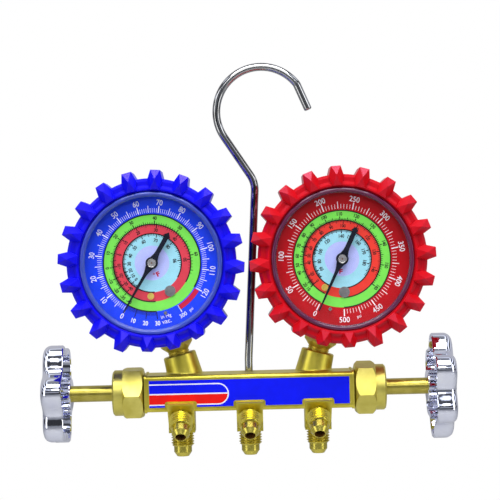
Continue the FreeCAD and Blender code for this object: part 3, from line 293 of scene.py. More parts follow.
def smooth_mesh(mesh, name, crease):
    """The finished mesh, its faces outward and smooth but for edges past this many degrees."""
    bmesh.ops.recalc_face_normals(mesh, faces=mesh.faces)
    made = bpy.data.meshes.new(name)
    mesh.to_mesh(made)
    mesh.free()
    made.shade_smooth()
    made.set_sharp_from_angle(angle=math.radians(crease))
    return made


def screw_mesh(name, before, thread_span, after, crest, root, pitch, columns=64, rows_per_turn=8):
    """A turned piece along +Z whose stretch between two heights carries a helical thread."""
    low, high = thread_span
    turns = math.ceil((high - low) / pitch) + 1
    mesh = bmesh.new()
    rings = []
    for column in range(columns + 1):
        share = column / columns
        points = list(before)
        for row in range(turns * rows_per_turn + 1):
            height = min(max(low + pitch * (row / rows_per_turn + share - 1), low), high)
            phase = ((height - low) / pitch - share) % 1.0
            run_out = root + min(height - low, high - height)
            radius = min(root + (crest - root) * thread_height(phase), run_out)
            points.append((radius, height))
        points += after
        turn = 2 * math.pi * share
        rings.append([mesh.verts.new(on_circle(radius, turn, height)) for radius, height in points])
    for near, far in zip(rings, rings[1:]):
        for row in range(len(near) - 1):
            mesh.faces.new((near[row], far[row], far[row + 1], near[row + 1]))
    bmesh.ops.remove_doubles(mesh, verts=mesh.verts, dist=weld_reach)
    return smooth_mesh(mesh, name, crease=28.0)


def add_piece(name, mesh, materials, place, body):
    """One new piece of the model: linked, put in place and riding on its body."""
    for material in materials:
        mesh.materials.append(material)
    piece = bpy.data.objects.new(name, mesh)
    bpy.context.scene.collection.objects.link(piece)
    piece.matrix_world = place
    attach(piece, body)
    return piece


def nipple_outline(thread, nose, bore):
    """The radii and heights before and after a nipple's thread; a bore of no depth runs through."""
    tip = thread + nose + flare_cone_length
    before = [
        (flare_spigot_radius, -flare_spigot_length),
        (flare_spigot_radius, flare_thread_start),
        (flare_root, flare_thread_start),
    ]
    after = [
        (flare_nose_radius, thread),
        (flare_nose_radius, thread + nose),
        (flare_lip_radius, tip),
        (flare_bore_radius + flare_bore_flare, tip),
        (flare_bore_radius, tip - flare_bore_flare),
    ]
    if bore is None:
        before.insert(0, (flare_bore_radius, -flare_spigot_length))
        after.append((flare_bore_radius, -flare_spigot_length))
    else:
        bottom = tip - bore
        before.insert(0, (0.0, -flare_spigot_length))
        after.append((flare_bore_radius, bottom + flare_bore_radius / math.tan(bore_bottom_angle)))
        after.append((0.0, bottom))
    return before, after


for port, along in (("low", -port_spacing), ("centre", 0.0), ("high", port_spacing)):
    for kind, sizes in nipple_kinds.items():
        node = port + "_" + kind + "_nipple"
        before, after = nipple_outline(**sizes)
        mesh = screw_mesh(
            node + "_turned", before, (flare_thread_start, sizes["thread"]), after,
            crest=flare_crest, root=flare_root, pitch=flare_pitch)
        if kind == "hose":
            foot = Vector((along, 0.0, -block_drop))
            way = Vector((0.0, 0.0, -1.0))
        else:
            foot = Vector((along, 0.0, 0.0)) + slant * slant_face_distance
            way = slant
        turned = way.to_track_quat("Z", "X").to_matrix().to_4x4()
        place = Matrix.Translation(bar_axis + foot * MM) @ turned
        piece = add_piece(
            node + "_turned", mesh, [turned_brass, bore_painted_shade], place, "manifold")
        # Faces inside the bore take the painted shade; the rest stay turned brass.
        for face in mesh.polygons:
            reach = math.hypot(face.center.x, face.center.y) / MM
            face.material_index = 1 if reach < bore_shade_reach else 0
        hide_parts(node)


# The label is a printed film stuck to the bar's flat front: royal blue, and at its left
# end a blue and a red band framed by white pinstripes, under a clear gloss.
label_front = -11.25
ink_thickness = 0.02
label_left = -48.1
notch_half_width = 7.7
notch_top = -3.7
notch_corner = 1.2
stripe_end = -15.0
pinstripe = 0.6
frame_top = 4.83
frame_bottom = -5.55
middle_line_top = 0.2
middle_line_bottom = -0.45
film_gloss = 0.12
film_roughness = 0.22
white_stripe, blue_stripe, red_stripe = range(3)


def darker(colour, share):
    """The colour with every part brought down to this share."""
    return tuple(part * share for part in colour)


def film_ink(name, colour, roughness):
    """Gloss ink with the faint unevenness of a printed film."""
    return worn_material(
        name, metal=0.0, patches=260.0, dark=darker(colour, 0.92), light=colour,
        roughness=(roughness * 0.85, roughness * 1.25), gloss=film_gloss)


def slab(mesh, outline, front, back, material_index=0):
    """A flat printed shape: an outline in X and Z, in millimetres, given a thickness."""
    faces = []
    for depth in (front, back):
        corners = [mesh.verts.new((x * MM, depth * MM, z * MM)) for x, z in outline]
        faces.append(mesh.faces.new(corners))
    count = len(outline)
    for corner in range(count):
        following = (corner + 1) % count
        faces.append(mesh.faces.new((
            faces[0].verts[corner], faces[0].verts[following],
            faces[1].verts[following], faces[1].verts[corner],
        )))
    for face in faces:
        face.material_index = material_index


def arc(centre, radius, start, end, steps):
    """Points on a round stretch, its angles counted anticlockwise from +X in degrees."""
    angles = [math.radians(start + (end - start) * step / steps) for step in range(steps + 1)]
    return [
        (centre[0] + radius * math.cos(angle), centre[1] + radius * math.sin(angle))
        for angle in angles
    ]


def finished(mesh, name):
    """The finished mesh with its faces turned outward and its long faces cut to triangles."""
    bmesh.ops.recalc_face_normals(mesh, faces=mesh.faces)
    bmesh.ops.triangulate(mesh, faces=[face for face in mesh.faces if len(face.verts) > 4])
    made = bpy.data.meshes.new(name)
    mesh.to_mesh(made)
    mesh.free()
    return made


def notched_bottom(low):
    """The underside of a stripe from left to right, stepping up round the left port's pad."""
    left = -port_spacing - notch_half_width
    right = -port_spacing + notch_half_width
    height = notch_top - notch_corner
    round_left = arc((left + notch_corner, height), notch_corner, 180, 90, 6)
    round_right = arc((right - notch_corner, height), notch_corner, 90, 0, 6)
    return [(label_left, low), (left, low)] + round_left + round_right + [(right, low)]


label_blue = film_ink("label_blue", (0.006, 0.012, 0.88), film_roughness)
label_white = film_ink("label_white", (0.86, 0.85, 0.92), film_roughness)
label_red = film_ink("label_red", (0.82, 0.012, 0.010), film_roughness)
dress("front_label", label_blue)

frame_middle = (frame_top + frame_bottom) / 2
frame_radius = (frame_top - frame_bottom) / 2
inner_radius = frame_radius - pinstripe
upper_turn = math.degrees(math.asin((middle_line_top - frame_middle) / inner_radius))
lower_turn = math.degrees(math.asin((middle_line_bottom - frame_middle) / inner_radius))
end_centre = (stripe_end, frame_middle)
band_front = label_front - 2 * ink_thickness
label_print = bmesh.new()
white_shape = notched_bottom(frame_bottom) + arc(end_centre, frame_radius, -90, 90, 32)
white_shape.append((label_left, frame_top))
slab(label_print, white_shape, label_front - ink_thickness, label_front + ink_thickness, white_stripe)
blue_band = [(label_left, middle_line_top)] + arc(end_centre, inner_radius, upper_turn, 90, 16)
blue_band.append((label_left, frame_top - pinstripe))
slab(label_print, blue_band, band_front, label_front, blue_stripe)
red_band = notched_bottom(frame_bottom + pinstripe) + arc(end_centre, inner_radius, -90, lower_turn, 16)
red_band.append((label_left, middle_line_bottom))
slab(label_print, red_band, band_front, label_front, red_stripe)
add_piece(
    "label_stripes", finished(label_print, "label_stripes"), [label_white, label_blue, label_red],
    Matrix.Translation(bar_axis), "manifold")


# The hook is one length of round steel wire, bent cold, chromed, and held in the bar by
# a grub screw from behind, so that it can be turned to hang the set.
chrome_wire = worn_material(
    "chrome_wire", metal=1.0, patches=60.0,
    dark=(0.30, 0.29, 0.28), light=(0.46, 0.47, 0.47), roughness=(0.05, 0.10))
zinc_steel = worn_material(
    "zinc_steel", metal=1.0, patches=300.0,
    dark=(0.38, 0.38, 0.37), light=(0.60, 0.60, 0.58), roughness=(0.28, 0.42))
dress("hook", chrome_wire)
dress("hook_grub_screw", zinc_steel)


# Each valve is a hexagon bonnet turned from brass and screwed into the bar's end over a
# fibre gasket; the brass stem runs through it with an O-ring and a white seat disc.
lathe_marks = (1.0, 0.03, 0.03)
bonnet_brass = worn_material(
    "bonnet_brass", metal=1.0, patches=160.0,
    dark=(0.68, 0.59, 0.11), light=(0.84, 0.75, 0.19), roughness=(0.36, 0.48))
grain(bonnet_brass, scale=2600.0, height=0.008, stretch=lathe_marks)
stem_brass = worn_material(
    "stem_brass", metal=1.0, patches=260.0,
    dark=(0.46, 0.385, 0.065), light=(0.61, 0.52, 0.11), roughness=(0.24, 0.38))
grain(stem_brass, scale=2600.0, height=0.008, stretch=lathe_marks)
fibre_gasket = worn_material(
    "fibre_gasket", metal=0.0, patches=900.0,
    dark=(0.20, 0.08, 0.03), light=(0.36, 0.15, 0.06), roughness=(0.7, 0.9))
black_rubber = worn_material(
    "black_rubber", metal=0.0, patches=500.0,
    dark=(0.010, 0.010, 0.010), light=(0.025, 0.025, 0.025), roughness=(0.5, 0.7))
white_polymer = worn_material(
    "white_polymer", metal=0.0, patches=500.0,
    dark=(0.72, 0.71, 0.66), light=(0.82, 0.81, 0.77), roughness=(0.3, 0.42))
sides = {"low": -1, "high": 1}
for side in sides:
    dress(side + "_bonnet", bonnet_brass)
    dress(side + "_bonnet_gasket", fibre_gasket)
    dress(side + "_valve_stem", stem_brass)
    dress(side + "_stem_o_ring", black_rubber)
    dress(side + "_seat_disc", white_polymer)


# The handwheels are zinc die castings with six lobes, hollow behind, polished and
# chromed; a zinc-plated pan screw holds each one on the stem's square.
hub_start = 86.45
hub_bore = 4.0
hub_radius = 7.65
hub_edge = 0.4
wheel_rim_start = 2.4
wheel_face = 12.4
wheel_radius = 25.6
wheel_valley = 5.4
wheel_valley_sharpness = 1.25
wheel_lobes = 6
wheel_edge = 4.0
wheel_wall = 1.8
wheel_pocket_edge = 2.4
screw_recess = 1.6
screw_hole = 1.85
square_end = 7.65
wheel_lobe_angle = {"low": 22.0, "high": 1.0}
chrome_casting = worn_material(
    "chrome_casting", metal=1.0, patches=90.0,
    dark=(0.78, 0.80, 0.93), light=(0.92, 0.94, 1.0), roughness=(0.03, 0.07))
grain(chrome_casting, scale=160.0, height=0.07)


def wheel_section(reach):
    """The wheel's half section at one angle, its radius and distance from the hub's inner end."""
    inner_face = wheel_face - wheel_wall
    pocket_reach = reach - wheel_wall
    pocket_centre = (pocket_reach - wheel_pocket_edge, inner_face - wheel_pocket_edge)
    lip = wheel_wall / 3
    section = [(screw_hole, wheel_face - screw_recess), (hub_bore, wheel_face - screw_recess)]
    section += [(hub_bore, wheel_face - hub_edge / 2), (hub_bore + hub_edge / 2, wheel_face)]
    section += arc((reach - wheel_edge, wheel_face - wheel_edge), wheel_edge, 90, 0, 8)
    section += [(reach, wheel_rim_start + lip), (reach - lip, wheel_rim_start)]
    section += [(reach - 2 * lip, wheel_rim_start), (pocket_reach, wheel_rim_start + lip)]
    section += arc(pocket_centre, wheel_pocket_edge, 0, 90, 6)
    section += [(hub_radius + 2 * hub_edge, inner_face), (hub_radius, inner_face - 2 * hub_edge)]
    section += [(hub_radius, hub_edge), (hub_radius - hub_edge, 0.0), (hub_bore, 0.0)]
    return section + [(hub_bore, square_end), (screw_hole, square_end)]


def join_rings(mesh, rings):
    """Faces between neighbouring rings of points, closed along each ring and all the way round."""
    for near, far in zip(rings, rings[1:] + rings[:1]):
        for row in range(len(near)):
            following = (row + 1) % len(near)
            mesh.faces.new((near[row], far[row], far[following], near[following]))


def wheel_mesh(name, way, first_lobe, columns=240):
    """The lobed wheel round the bar's axis, hollow towards the bar."""
    mesh = bmesh.new()
    rings = []
    for column in range(columns):
        turn = 2 * math.pi * column / columns
        swing = 0.5 - 0.5 * math.cos(wheel_lobes * (turn - math.radians(first_lobe)))
        across, up = -math.sin(turn), math.cos(turn)
        rings.append([
            mesh.verts.new((way * (hub_start + along) * MM, reach * across * MM, reach * up * MM))
            for reach, along in wheel_section(
                wheel_radius - wheel_valley * swing ** wheel_valley_sharpness)
        ])
    join_rings(mesh, rings)
    return smooth_mesh(mesh, name, crease=40.0)


for side, way in sides.items():
    cast = wheel_mesh(side + "_handwheel_cast", way, wheel_lobe_angle[side])
    piece = add_piece(
        side + "_handwheel_cast", cast, [chrome_casting], Matrix.Translation(bar_axis),
        side + "_valve_stem")
    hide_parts(side + "_handwheel")
    dress(side + "_wheel_screw", zinc_steel)


# The gauge stem is turned from brass with a hexagon; its tapered pipe thread screws into
# the boss, where the last turns stay in sight above the boss's pale rim.
stem_thread_top = 44.2
stem_thread_length = 2.1
stem_thread_pitch = 0.94
stem_thread_crest = 5.3
stem_thread_root = 4.9
stem_thread_core = 4.5
stem_thread_buried = 0.3
gauge_lean = {"low": -math.radians(14.1), "high": math.radians(14.9)}
gauge_foot = 29.1
gauge_distance = 65.1
gauge_place = {
    side: Matrix.Translation(bar_axis + Vector((way * gauge_foot, 0.0, 0.0)) * MM)
    @ Matrix.Rotation(gauge_lean[side], 4, "Y")
    @ Matrix.Translation((0.0, 0.0, gauge_distance * MM))
    for side, way in sides.items()
}
socket_brass = worn_material(
    "socket_brass", metal=1.0, patches=240.0,
    dark=(0.74, 0.62, 0.10), light=(0.90, 0.78, 0.17), roughness=(0.36, 0.5))
for side in sides:
    dress(side + "_gauge_socket", socket_brass)
    turns = screw_mesh(
        side + "_stem_thread",
        before=[
            (stem_thread_core, -stem_thread_buried),
            (stem_thread_root, -stem_thread_buried),
            (stem_thread_root, 0.0),
        ],
        thread_span=(0.0, stem_thread_length),
        after=[
            (stem_thread_root, stem_thread_length),
            (stem_thread_core, stem_thread_length),
            (stem_thread_core, -stem_thread_buried),
        ],
        crest=stem_thread_crest, root=stem_thread_root, pitch=stem_thread_pitch)
    foot = Matrix.Translation((0.0, 0.0, -(stem_thread_top + stem_thread_length) * MM))
    add_piece(
        side + "_stem_thread", turns, [socket_brass], gauge_place[side] @ foot,
        "manifold")


# The case is a drawn steel cup enamelled black and held to the stem's block by two
# screws; inside, the movement is of brass, bronze and stainless steel.
case_enamel = worn_material(
    "case_enamel", metal=0.0, patches=700.0,
    dark=(0.012, 0.012, 0.013), light=(0.024, 0.024, 0.026), roughness=(0.3, 0.42))
grain(case_enamel, scale=1600.0, height=0.015)
spring_bronze = worn_material(
    "spring_bronze", metal=1.0, patches=200.0,
    dark=(0.50, 0.27, 0.11), light=(0.68, 0.42, 0.20), roughness=(0.2, 0.34))
stainless_steel = worn_material(
    "stainless_steel", metal=1.0, patches=120.0,
    dark=(0.52, 0.51, 0.50), light=(0.60, 0.59, 0.58), roughness=(0.22, 0.3))
dull_brass = worn_material(
    "dull_brass", metal=0.5, patches=500.0,
    dark=(0.50, 0.37, 0.06), light=(0.66, 0.50, 0.11), roughness=(0.35, 0.5))
dull_steel = worn_material(
    "dull_steel", metal=0.4, patches=400.0,
    dark=(0.13, 0.13, 0.14), light=(0.20, 0.20, 0.21), roughness=(0.4, 0.5))
movement_finish = {
    "movement_frame": turned_brass, "toothed_sector": turned_brass, "sector_link": stainless_steel,
    "pointer_arbor": stainless_steel, "hairspring": spring_bronze, "bourdon_tube": spring_bronze,
    "tube_tip": turned_brass, "stop_pin": stainless_steel, "dial_screw": dull_brass,
    "zero_screw": dull_steel, "gauge_case": case_enamel, "case_screws": zinc_steel,
}
for side in sides:
    for piece, finish in movement_finish.items():
        dress(side + "_" + piece, finish)


# Each boot is moulded in one piece from coloured rubber, with twenty faceted grips, and
# is stretched over the case: blue on the low side, red on the high side.
boot_colours = {"low": (0.001, 0.002, 0.76), "high": (0.58, 0.001, 0.004)}
# The rubber's reflections are tinted violet: painted colour of the bluish light they mirror.
boot_painted_reflection_tint = (0.9, 0.6, 1.0)
for side, colour in boot_colours.items():
    rubber = worn_material(
        side + "_boot_rubber", metal=0.0, patches=220.0,
        dark=darker(colour, 0.9), light=colour, roughness=(0.26, 0.36), gloss=0.42)
    shade = rubber.node_tree.nodes["Principled BSDF"]
    shade.inputs["Specular Tint"].default_value = (*boot_painted_reflection_tint, 1.0)
    grain(rubber, scale=2400.0, height=0.012)
    dress(side + "_gauge_boot", rubber)


# The dial is a thin aluminium plate, enamelled and screen printed: a pressure scale round
# the rim, and three coloured rings that give the boiling points of three refrigerants.
atmosphere = 14.696
absolute_zero = -459.67
full_vacuum = 30
dial_face = 13.9
ring_front = dial_face + ink_thickness
ink_front = ring_front + ink_thickness
arbor_hole = 1.6
green_edge = 23.2
red_edge = 18.5
cyan_edge = 14.0
lavender_edge = 8.3
ring_line = 0.6
ring_number_width = 0.85
ring_number_weight = 0.035
crowded_step = 1.3
tick_start = 24.1
long_tick_end = 27.4
short_tick_end = 26.2
small_half_width = 0.09
numbered_half_width = 0.24
middle_half_width = 0.16
number_ring = 29.1
number_height = 2.65
number_weight = 0.006
word_ring = 28.9
vacuum_tick_start = 23.4
vacuum_long_end = 27.0
vacuum_short_end = 25.2
vacuum_half_width = 0.2
vacuum_number_height = 2.2
vacuum_number_width = 0.85
vacuum_number_weight = 0.02
# The unit of temperature, letter by letter: turn, distance, height, width and weight.
degree_sign = [("F", -5.0, 6.0, 2.3, 1.2, 0.05), ("o", 14.0, 5.3, 0.95, 1.0, 0.03)]
over_range = {"inner": 23.7, "outer": 26.1, "start": 136.2, "end": 163.9}
over_range_line = {"inner": 23.6, "outer": 27.3, "half_width": 0.22}
white_ink, black_ink, dark_red_ink, green_ring, red_ring, cyan_ring, lavender_disc, over_range_red = range(8)
# Each law gives the natural logarithm of the absolute pressure in psi, from a constant, a part
# over the temperature in degrees Rankine and a part along it, fitted to the printed numbers.
refrigerants = {
    "green": {
        "law": (14.424, -4693.5, -0.0012225), "text": 21.5, "height": 1.8, "ticks": 18.6, "tick_way": 1,
    },
    "red": {
        "law": (13.882, -4442.3, -0.0007589), "text": 15.8, "height": 1.7, "ticks": 18.4, "tick_way": -1,
    },
    "cyan": {
        "law": (15.024, -5206.5, -0.0014034), "text": 10.9, "height": 1.8, "ticks": 13.9, "tick_way": -1,
    },
}
scales = {
    "low": {
        "zero": 225.0, "sweep": 270.0, "full": 120, "vacuum_sweep": 35.0,
        "number_step": 10, "middle_step": 5, "small_step": 1, "number_width": 0.86,
        "flip_from": 98.0, "flip_to": 262.0, "print_turn": 0.0, "unit_angle": 171.8,
        "circle_from": 190.0, "circle_to": 495.0,
        "first": {"green": -40, "red": -40, "cyan": -10},
        "last": {"green": 66, "red": 53, "cyan": 93},
        "temperatures": {
            "green": list(range(-40, 61, 10)),
            "red": list(range(-40, 51, 10)),
            "cyan": list(range(0, 91, 10)),
        },
        # Each word stands with its angle, its distance from the middle, its height and its width.
        "words": [
            ("in Hg", 180.6, 26.4, 2.2, 1.0), ("vac.", 181.3, word_ring, 1.45, 1.0),
            ("300", 164.3, word_ring, 1.9, 0.95), ("psi", 155.2, 29.2, 1.8, 0.95),
        ],
    },
    "high": {
        "zero": 194.4, "sweep": 331.2, "full": 500, "vacuum_sweep": 0.0,
        "number_step": 50, "middle_step": 25, "small_step": 5, "number_width": 0.92,
        "flip_from": 125.0, "flip_to": 235.0, "print_turn": -1.6, "unit_angle": 178.0,
        "circle_from": 194.4, "circle_to": 525.6,
        "first": {"green": 10, "red": 0, "cyan": 40},
        "last": {"green": 160, "red": 142, "cyan": 188},
        "temperatures": {
            "green": [10, 20] + list(range(40, 161, 10)),
            "red": [0, 20] + list(range(40, 141, 10)),
            "cyan": [60, 80, 100, 120] + list(range(140, 181, 10)),
        },
        "words": [("psi", 151.4, word_ring, 1.8, 0.95)],
    },
}


def tick(mesh, angle, inner, outer, half_width, ink):
    """One printed line that points at the dial's centre."""
    turn = math.radians(angle)
    out = (math.sin(turn), math.cos(turn))
    across = (math.cos(turn), -math.sin(turn))
    corners = ((inner, -half_width), (inner, half_width), (outer, half_width), (outer, -half_width))
    outline = [
        (out[0] * reach + across[0] * shift, out[1] * reach + across[1] * shift)
        for reach, shift in corners
    ]
    slab(mesh, outline, -ink_front - ink_thickness, -ink_front + ink_thickness, ink)


def ring(mesh, inner, outer, ink, front, start=0.0, end=360.0):
    """A printed ring or part of one, with square edges."""
    steps = max(2, round((end - start) / 3))
    whole = end - start >= 360.0
    corners = (
        (inner, ink_thickness - front), (inner, -ink_thickness - front),
        (outer, -ink_thickness - front), (outer, ink_thickness - front),
    )
    sections = []
    for step in range(steps if whole else steps + 1):
        turn = math.radians(start + (end - start) * step / steps)
        sections.append([
            mesh.verts.new((reach * MM * math.sin(turn), depth * MM, reach * MM * math.cos(turn)))
            for reach, depth in corners
        ])
    pairs = list(zip(sections, sections[1:]))
    if whole:
        pairs.append((sections[-1], sections[0]))
    made = []
    for near, far in pairs:
        for edge in range(4):
            following = (edge + 1) % 4
            made.append(mesh.faces.new((near[edge], near[following], far[following], far[edge])))
    if not whole:
        made.append(mesh.faces.new(sections[0]))
        made.append(mesh.faces.new(sections[-1][::-1]))
    for face in made:
        face.material_index = ink


lettering = {}


def letter_mesh(words, weight):
    """The words as a flat mesh of unit height round its own middle, its strokes made bolder."""
    if (words, weight) not in lettering:
        curve = bpy.data.curves.new("lettering", "FONT")
        curve.body = words
        curve.resolution_u = 3
        curve.extrude = 0.5
        curve.offset = weight
        holder = bpy.data.objects.new("lettering", curve)
        flat = bpy.data.meshes.new_from_object(holder)
        joined = bmesh.new()
        joined.from_mesh(flat)
        bmesh.ops.remove_doubles(joined, verts=joined.verts, dist=0.0001)
        joined.to_mesh(flat)
        joined.free()
        low = [min(vertex.co[axis] for vertex in flat.vertices) for axis in range(3)]
        high = [max(vertex.co[axis] for vertex in flat.vertices) for axis in range(3)]
        height = high[1] - low[1]
        for vertex in flat.vertices:
            vertex.co.x = (vertex.co.x - (low[0] + high[0]) / 2) / height
            vertex.co.y = (vertex.co.y - (low[1] + high[1]) / 2) / height
        bpy.data.objects.remove(holder)
        bpy.data.curves.remove(curve)
        lettering[words, weight] = flat
    return lettering[words, weight]


def write(mesh, words, angle, distance, height, width_share, ink, upside_down=True, weight=0.0):
    """Words printed along the rim, their tops outward or, upside down, towards the centre."""
    turn = math.radians(angle)
    lean = turn + (math.pi if upside_down else 0.0)
    place = (
        Matrix.Translation((distance * MM * math.sin(turn), -ink_front * MM, distance * MM * math.cos(turn)))
        @ Matrix.Rotation(lean, 4, "Y")
        @ Matrix.Rotation(math.radians(90.0), 4, "X")
        @ Matrix.Diagonal((height * width_share * MM, height * MM, 2 * ink_thickness * MM, 1.0))
    )
    known = set(mesh.faces)
    letters = letter_mesh(words, weight).copy()
    letters.transform(place)
    mesh.from_mesh(letters)
    for face in mesh.faces:
        if face not in known:
            face.material_index = ink
    bpy.data.meshes.remove(letters)


def dial_angle(scale, pressure):
    """Angle of a pressure on the dial, clockwise from the top, in degrees."""
    if pressure < 0:
        return scale["zero"] + pressure * scale["vacuum_sweep"] / atmosphere
    return scale["zero"] + pressure * scale["sweep"] / scale["full"]


def boiling_angle(scale, law, fahrenheit):
    """Angle on the dial of the gauge pressure at which a refrigerant boils at this temperature."""
    rankine = fahrenheit - absolute_zero
    constant, inverse, linear = law
    pressure = math.exp(constant + inverse / rankine + linear * rankine) - atmosphere
    return dial_angle(scale, pressure)


def reads_upside_down(scale, angle):
    """Numbers in the lower part of the dial are turned to stay readable."""
    return scale["flip_from"] < angle % 360 < scale["flip_to"]


def ring_tick(degree, numbered):
    """Length and half width of the line for one degree: longest at a number, then at each five."""
    if degree in numbered:
        return 1.7, 0.23
    if degree % 5 == 0:
        return 1.3, 0.17
    return 0.9, 0.13


def print_rings(mesh, scale):
    """The coloured rings, the black circles round them and the boiling points, thinned where crowded."""
    for ink, outer, inner in (
        (green_ring, green_edge, red_edge), (red_ring, red_edge, cyan_edge),
        (cyan_ring, cyan_edge, lavender_edge), (lavender_disc, lavender_edge, arbor_hole),
    ):
        ring(mesh, inner, outer, ink, ring_front)
    for edge in (green_edge, red_edge, cyan_edge):
        ring(mesh, edge - ring_line / 2, edge + ring_line / 2, black_ink, ink_front,
             scale["circle_from"], scale["circle_to"])
    for colour, look in refrigerants.items():
        numbered = scale["temperatures"][colour]
        for degree in range(scale["first"][colour], scale["last"][colour] + 1):
            angle = boiling_angle(scale, look["law"], degree)
            crowded = abs(boiling_angle(scale, look["law"], degree + 1) - angle) < crowded_step
            if crowded and degree % 2:
                continue
            reach, half_width = ring_tick(degree, numbered)
            inner, outer = sorted((look["ticks"], look["ticks"] + look["tick_way"] * reach))
            tick(mesh, angle, inner, outer, half_width, black_ink)
        for degree in numbered:
            angle = boiling_angle(scale, look["law"], degree)
            write(mesh, str(degree), angle, look["text"], look["height"], ring_number_width,
                  black_ink, reads_upside_down(scale, angle), ring_number_weight)


def print_pressures(mesh, scale):
    """The white pressure scale round the rim."""
    for pressure in range(0, scale["full"] + 1, scale["small_step"]):
        angle = dial_angle(scale, pressure)
        if pressure % scale["number_step"] == 0:
            tick(mesh, angle, tick_start, long_tick_end, numbered_half_width, white_ink)
            write(mesh, str(pressure), angle, number_ring, number_height, scale["number_width"],
                  white_ink, reads_upside_down(scale, angle), number_weight)
        elif pressure % scale["middle_step"] == 0:
            tick(mesh, angle, tick_start, long_tick_end, middle_half_width, white_ink)
        else:
            tick(mesh, angle, tick_start, short_tick_end, small_half_width, white_ink)


def print_vacuum(mesh, scale):
    """The black vacuum scale below zero, in inches of mercury, with white numbers."""
    for inches in range(1, full_vacuum + 1):
        angle = scale["zero"] - inches * scale["vacuum_sweep"] / full_vacuum
        if inches % 10 == 0:
            tick(mesh, angle, vacuum_tick_start, vacuum_long_end, vacuum_half_width, black_ink)
            write(mesh, str(inches), angle, word_ring, vacuum_number_height, vacuum_number_width,
                  white_ink, weight=vacuum_number_weight)
        else:
            tick(mesh, angle, vacuum_tick_start, vacuum_short_end, small_half_width, black_ink)


def print_over_range(mesh):
    """The red band past full scale, closed by a white line at the gauge's highest reading."""
    ring(mesh, over_range["inner"], over_range["outer"], over_range_red, ink_front,
         over_range["start"], over_range["end"])
    tick(mesh, over_range["end"], **over_range_line, ink=white_ink)


def print_words(mesh, scale):
    """The white units and highest reading, and the dark red unit of temperature in the middle."""
    for words, angle, distance, height, width_share in scale["words"]:
        write(mesh, words, angle, distance, height, width_share, white_ink)
    for letter, turn, distance, height, width_share, weight in degree_sign:
        write(mesh, letter, scale["unit_angle"] + turn, distance, height, width_share,
              dark_red_ink, weight=weight)


dial_colours = {"low": (0.010, 0.052, 0.86), "high": (0.46, 0.003, 0.008)}
ring_reds = {"low": (0.57, 0.045, 0.07), "high": (0.67, 0.040, 0.027)}
enamel_roughness = 0.3
ink_roughness = 0.35
white_paint = film_ink("white_ink", (0.84, 0.86, 0.95), ink_roughness)
black_paint = film_ink("black_ink", (0.010, 0.010, 0.012), ink_roughness)
dark_red_paint = film_ink("dark_red_ink", (0.45, 0.004, 0.030), ink_roughness)
green_paint = film_ink("green_ink", (0.168, 0.64, 0.078), ink_roughness)
cyan_paint = film_ink("cyan_ink", (0.28, 0.58, 0.69), ink_roughness)
lavender_paint = film_ink("lavender_ink", (0.40, 0.44, 0.82), ink_roughness)
over_range_paint = film_ink("over_range_ink", (0.50, 0.012, 0.045), ink_roughness)
for side, scale in scales.items():
    dress(side + "_gauge_dial", film_ink(side + "_dial_enamel", dial_colours[side], enamel_roughness))
    dial_print = bmesh.new()
    print_rings(dial_print, scale)
    print_pressures(dial_print, scale)
    if side == "low":
        print_vacuum(dial_print, scale)
        print_over_range(dial_print)
    print_words(dial_print, scale)
    ring_red_paint = film_ink(side + "_ring_red", ring_reds[side], ink_roughness)
    paints = [
        white_paint, black_paint, dark_red_paint, green_paint, ring_red_paint, cyan_paint,
        lavender_paint, over_range_paint,
    ]
    turned = gauge_place[side] @ Matrix.Rotation(math.radians(scale["print_turn"]), 4, "Y")
    add_piece(
        side + "_dial_print", finished(dial_print, side + "_dial_print"), paints, turned,
        "manifold")


# The pointer is stamped from thin aluminium and sprayed matt black; its hub is pressed on
# the pinion's arbor, whose turned end cap shows in the middle.
facing_viewer = Matrix.Rotation(math.radians(90.0), 4, "X")
zero_angle = {"low": 225.0, "high": 190.5}
pointer_face = 16.6
pointer_back = 16.0
hub_face = 16.9
hub_back = 15.7
pointer_hub_radius = 2.95
hub_round = 0.3
arbor_hole_radius = 0.6
cap_back = 16.95
cap_face = 17.2
cap_groove = 17.12
cap_step = 17.16
# Half of the pointer's edge from its tip to its tail: distance to the middle line, then height.
pointer_edge = [
    (0.3, 27.2), (0.78, 7.5), (0.92, 6.0), (1.25, 4.4), (1.9, 2.4),
    (1.9, -2.4), (1.35, -4.2), (1.12, -6.0), (1.12, -14.4), (1.95, -14.4), (0.0, -16.8),
]
hub_outline = [
    (arbor_hole_radius, hub_back),
    (pointer_hub_radius, hub_back),
    (pointer_hub_radius, hub_face - hub_round),
    (pointer_hub_radius - hub_round, hub_face),
    (arbor_hole_radius, hub_face),
]
cap_outline = [
    (0.0, cap_back), (2.45, cap_back), (2.4, cap_groove), (2.15, cap_groove), (2.1, cap_face),
    (1.7, cap_face), (1.6, cap_groove), (1.2, cap_groove), (1.15, cap_step), (0.9, cap_step),
    (0.85, cap_groove), (0.4, cap_groove), (0.0, cap_groove),
]
pointer_black = worn_material(
    "pointer_black", metal=0.0, patches=800.0,
    dark=(0.003, 0.004, 0.010), light=(0.007, 0.008, 0.018), roughness=(0.45, 0.6), gloss=0.1)
cap_grey = worn_material(
    "cap_grey", metal=0.0, patches=300.0,
    dark=(0.15, 0.15, 0.16), light=(0.19, 0.19, 0.20), roughness=(0.3, 0.5))
cap_centre = worn_material(
    "cap_centre", metal=1.0, patches=900.0,
    dark=(0.10, 0.05, 0.03), light=(0.18, 0.09, 0.05), roughness=(0.4, 0.6))
cap_materials = [stainless_steel, cap_grey, cap_centre, pointer_black]
# Each zone is its inner radius and the place of its material; the last zone takes the rest.
cap_zones = ((2.12, 3), (1.62, 0), (0.35, 1), (-1.0, 2))


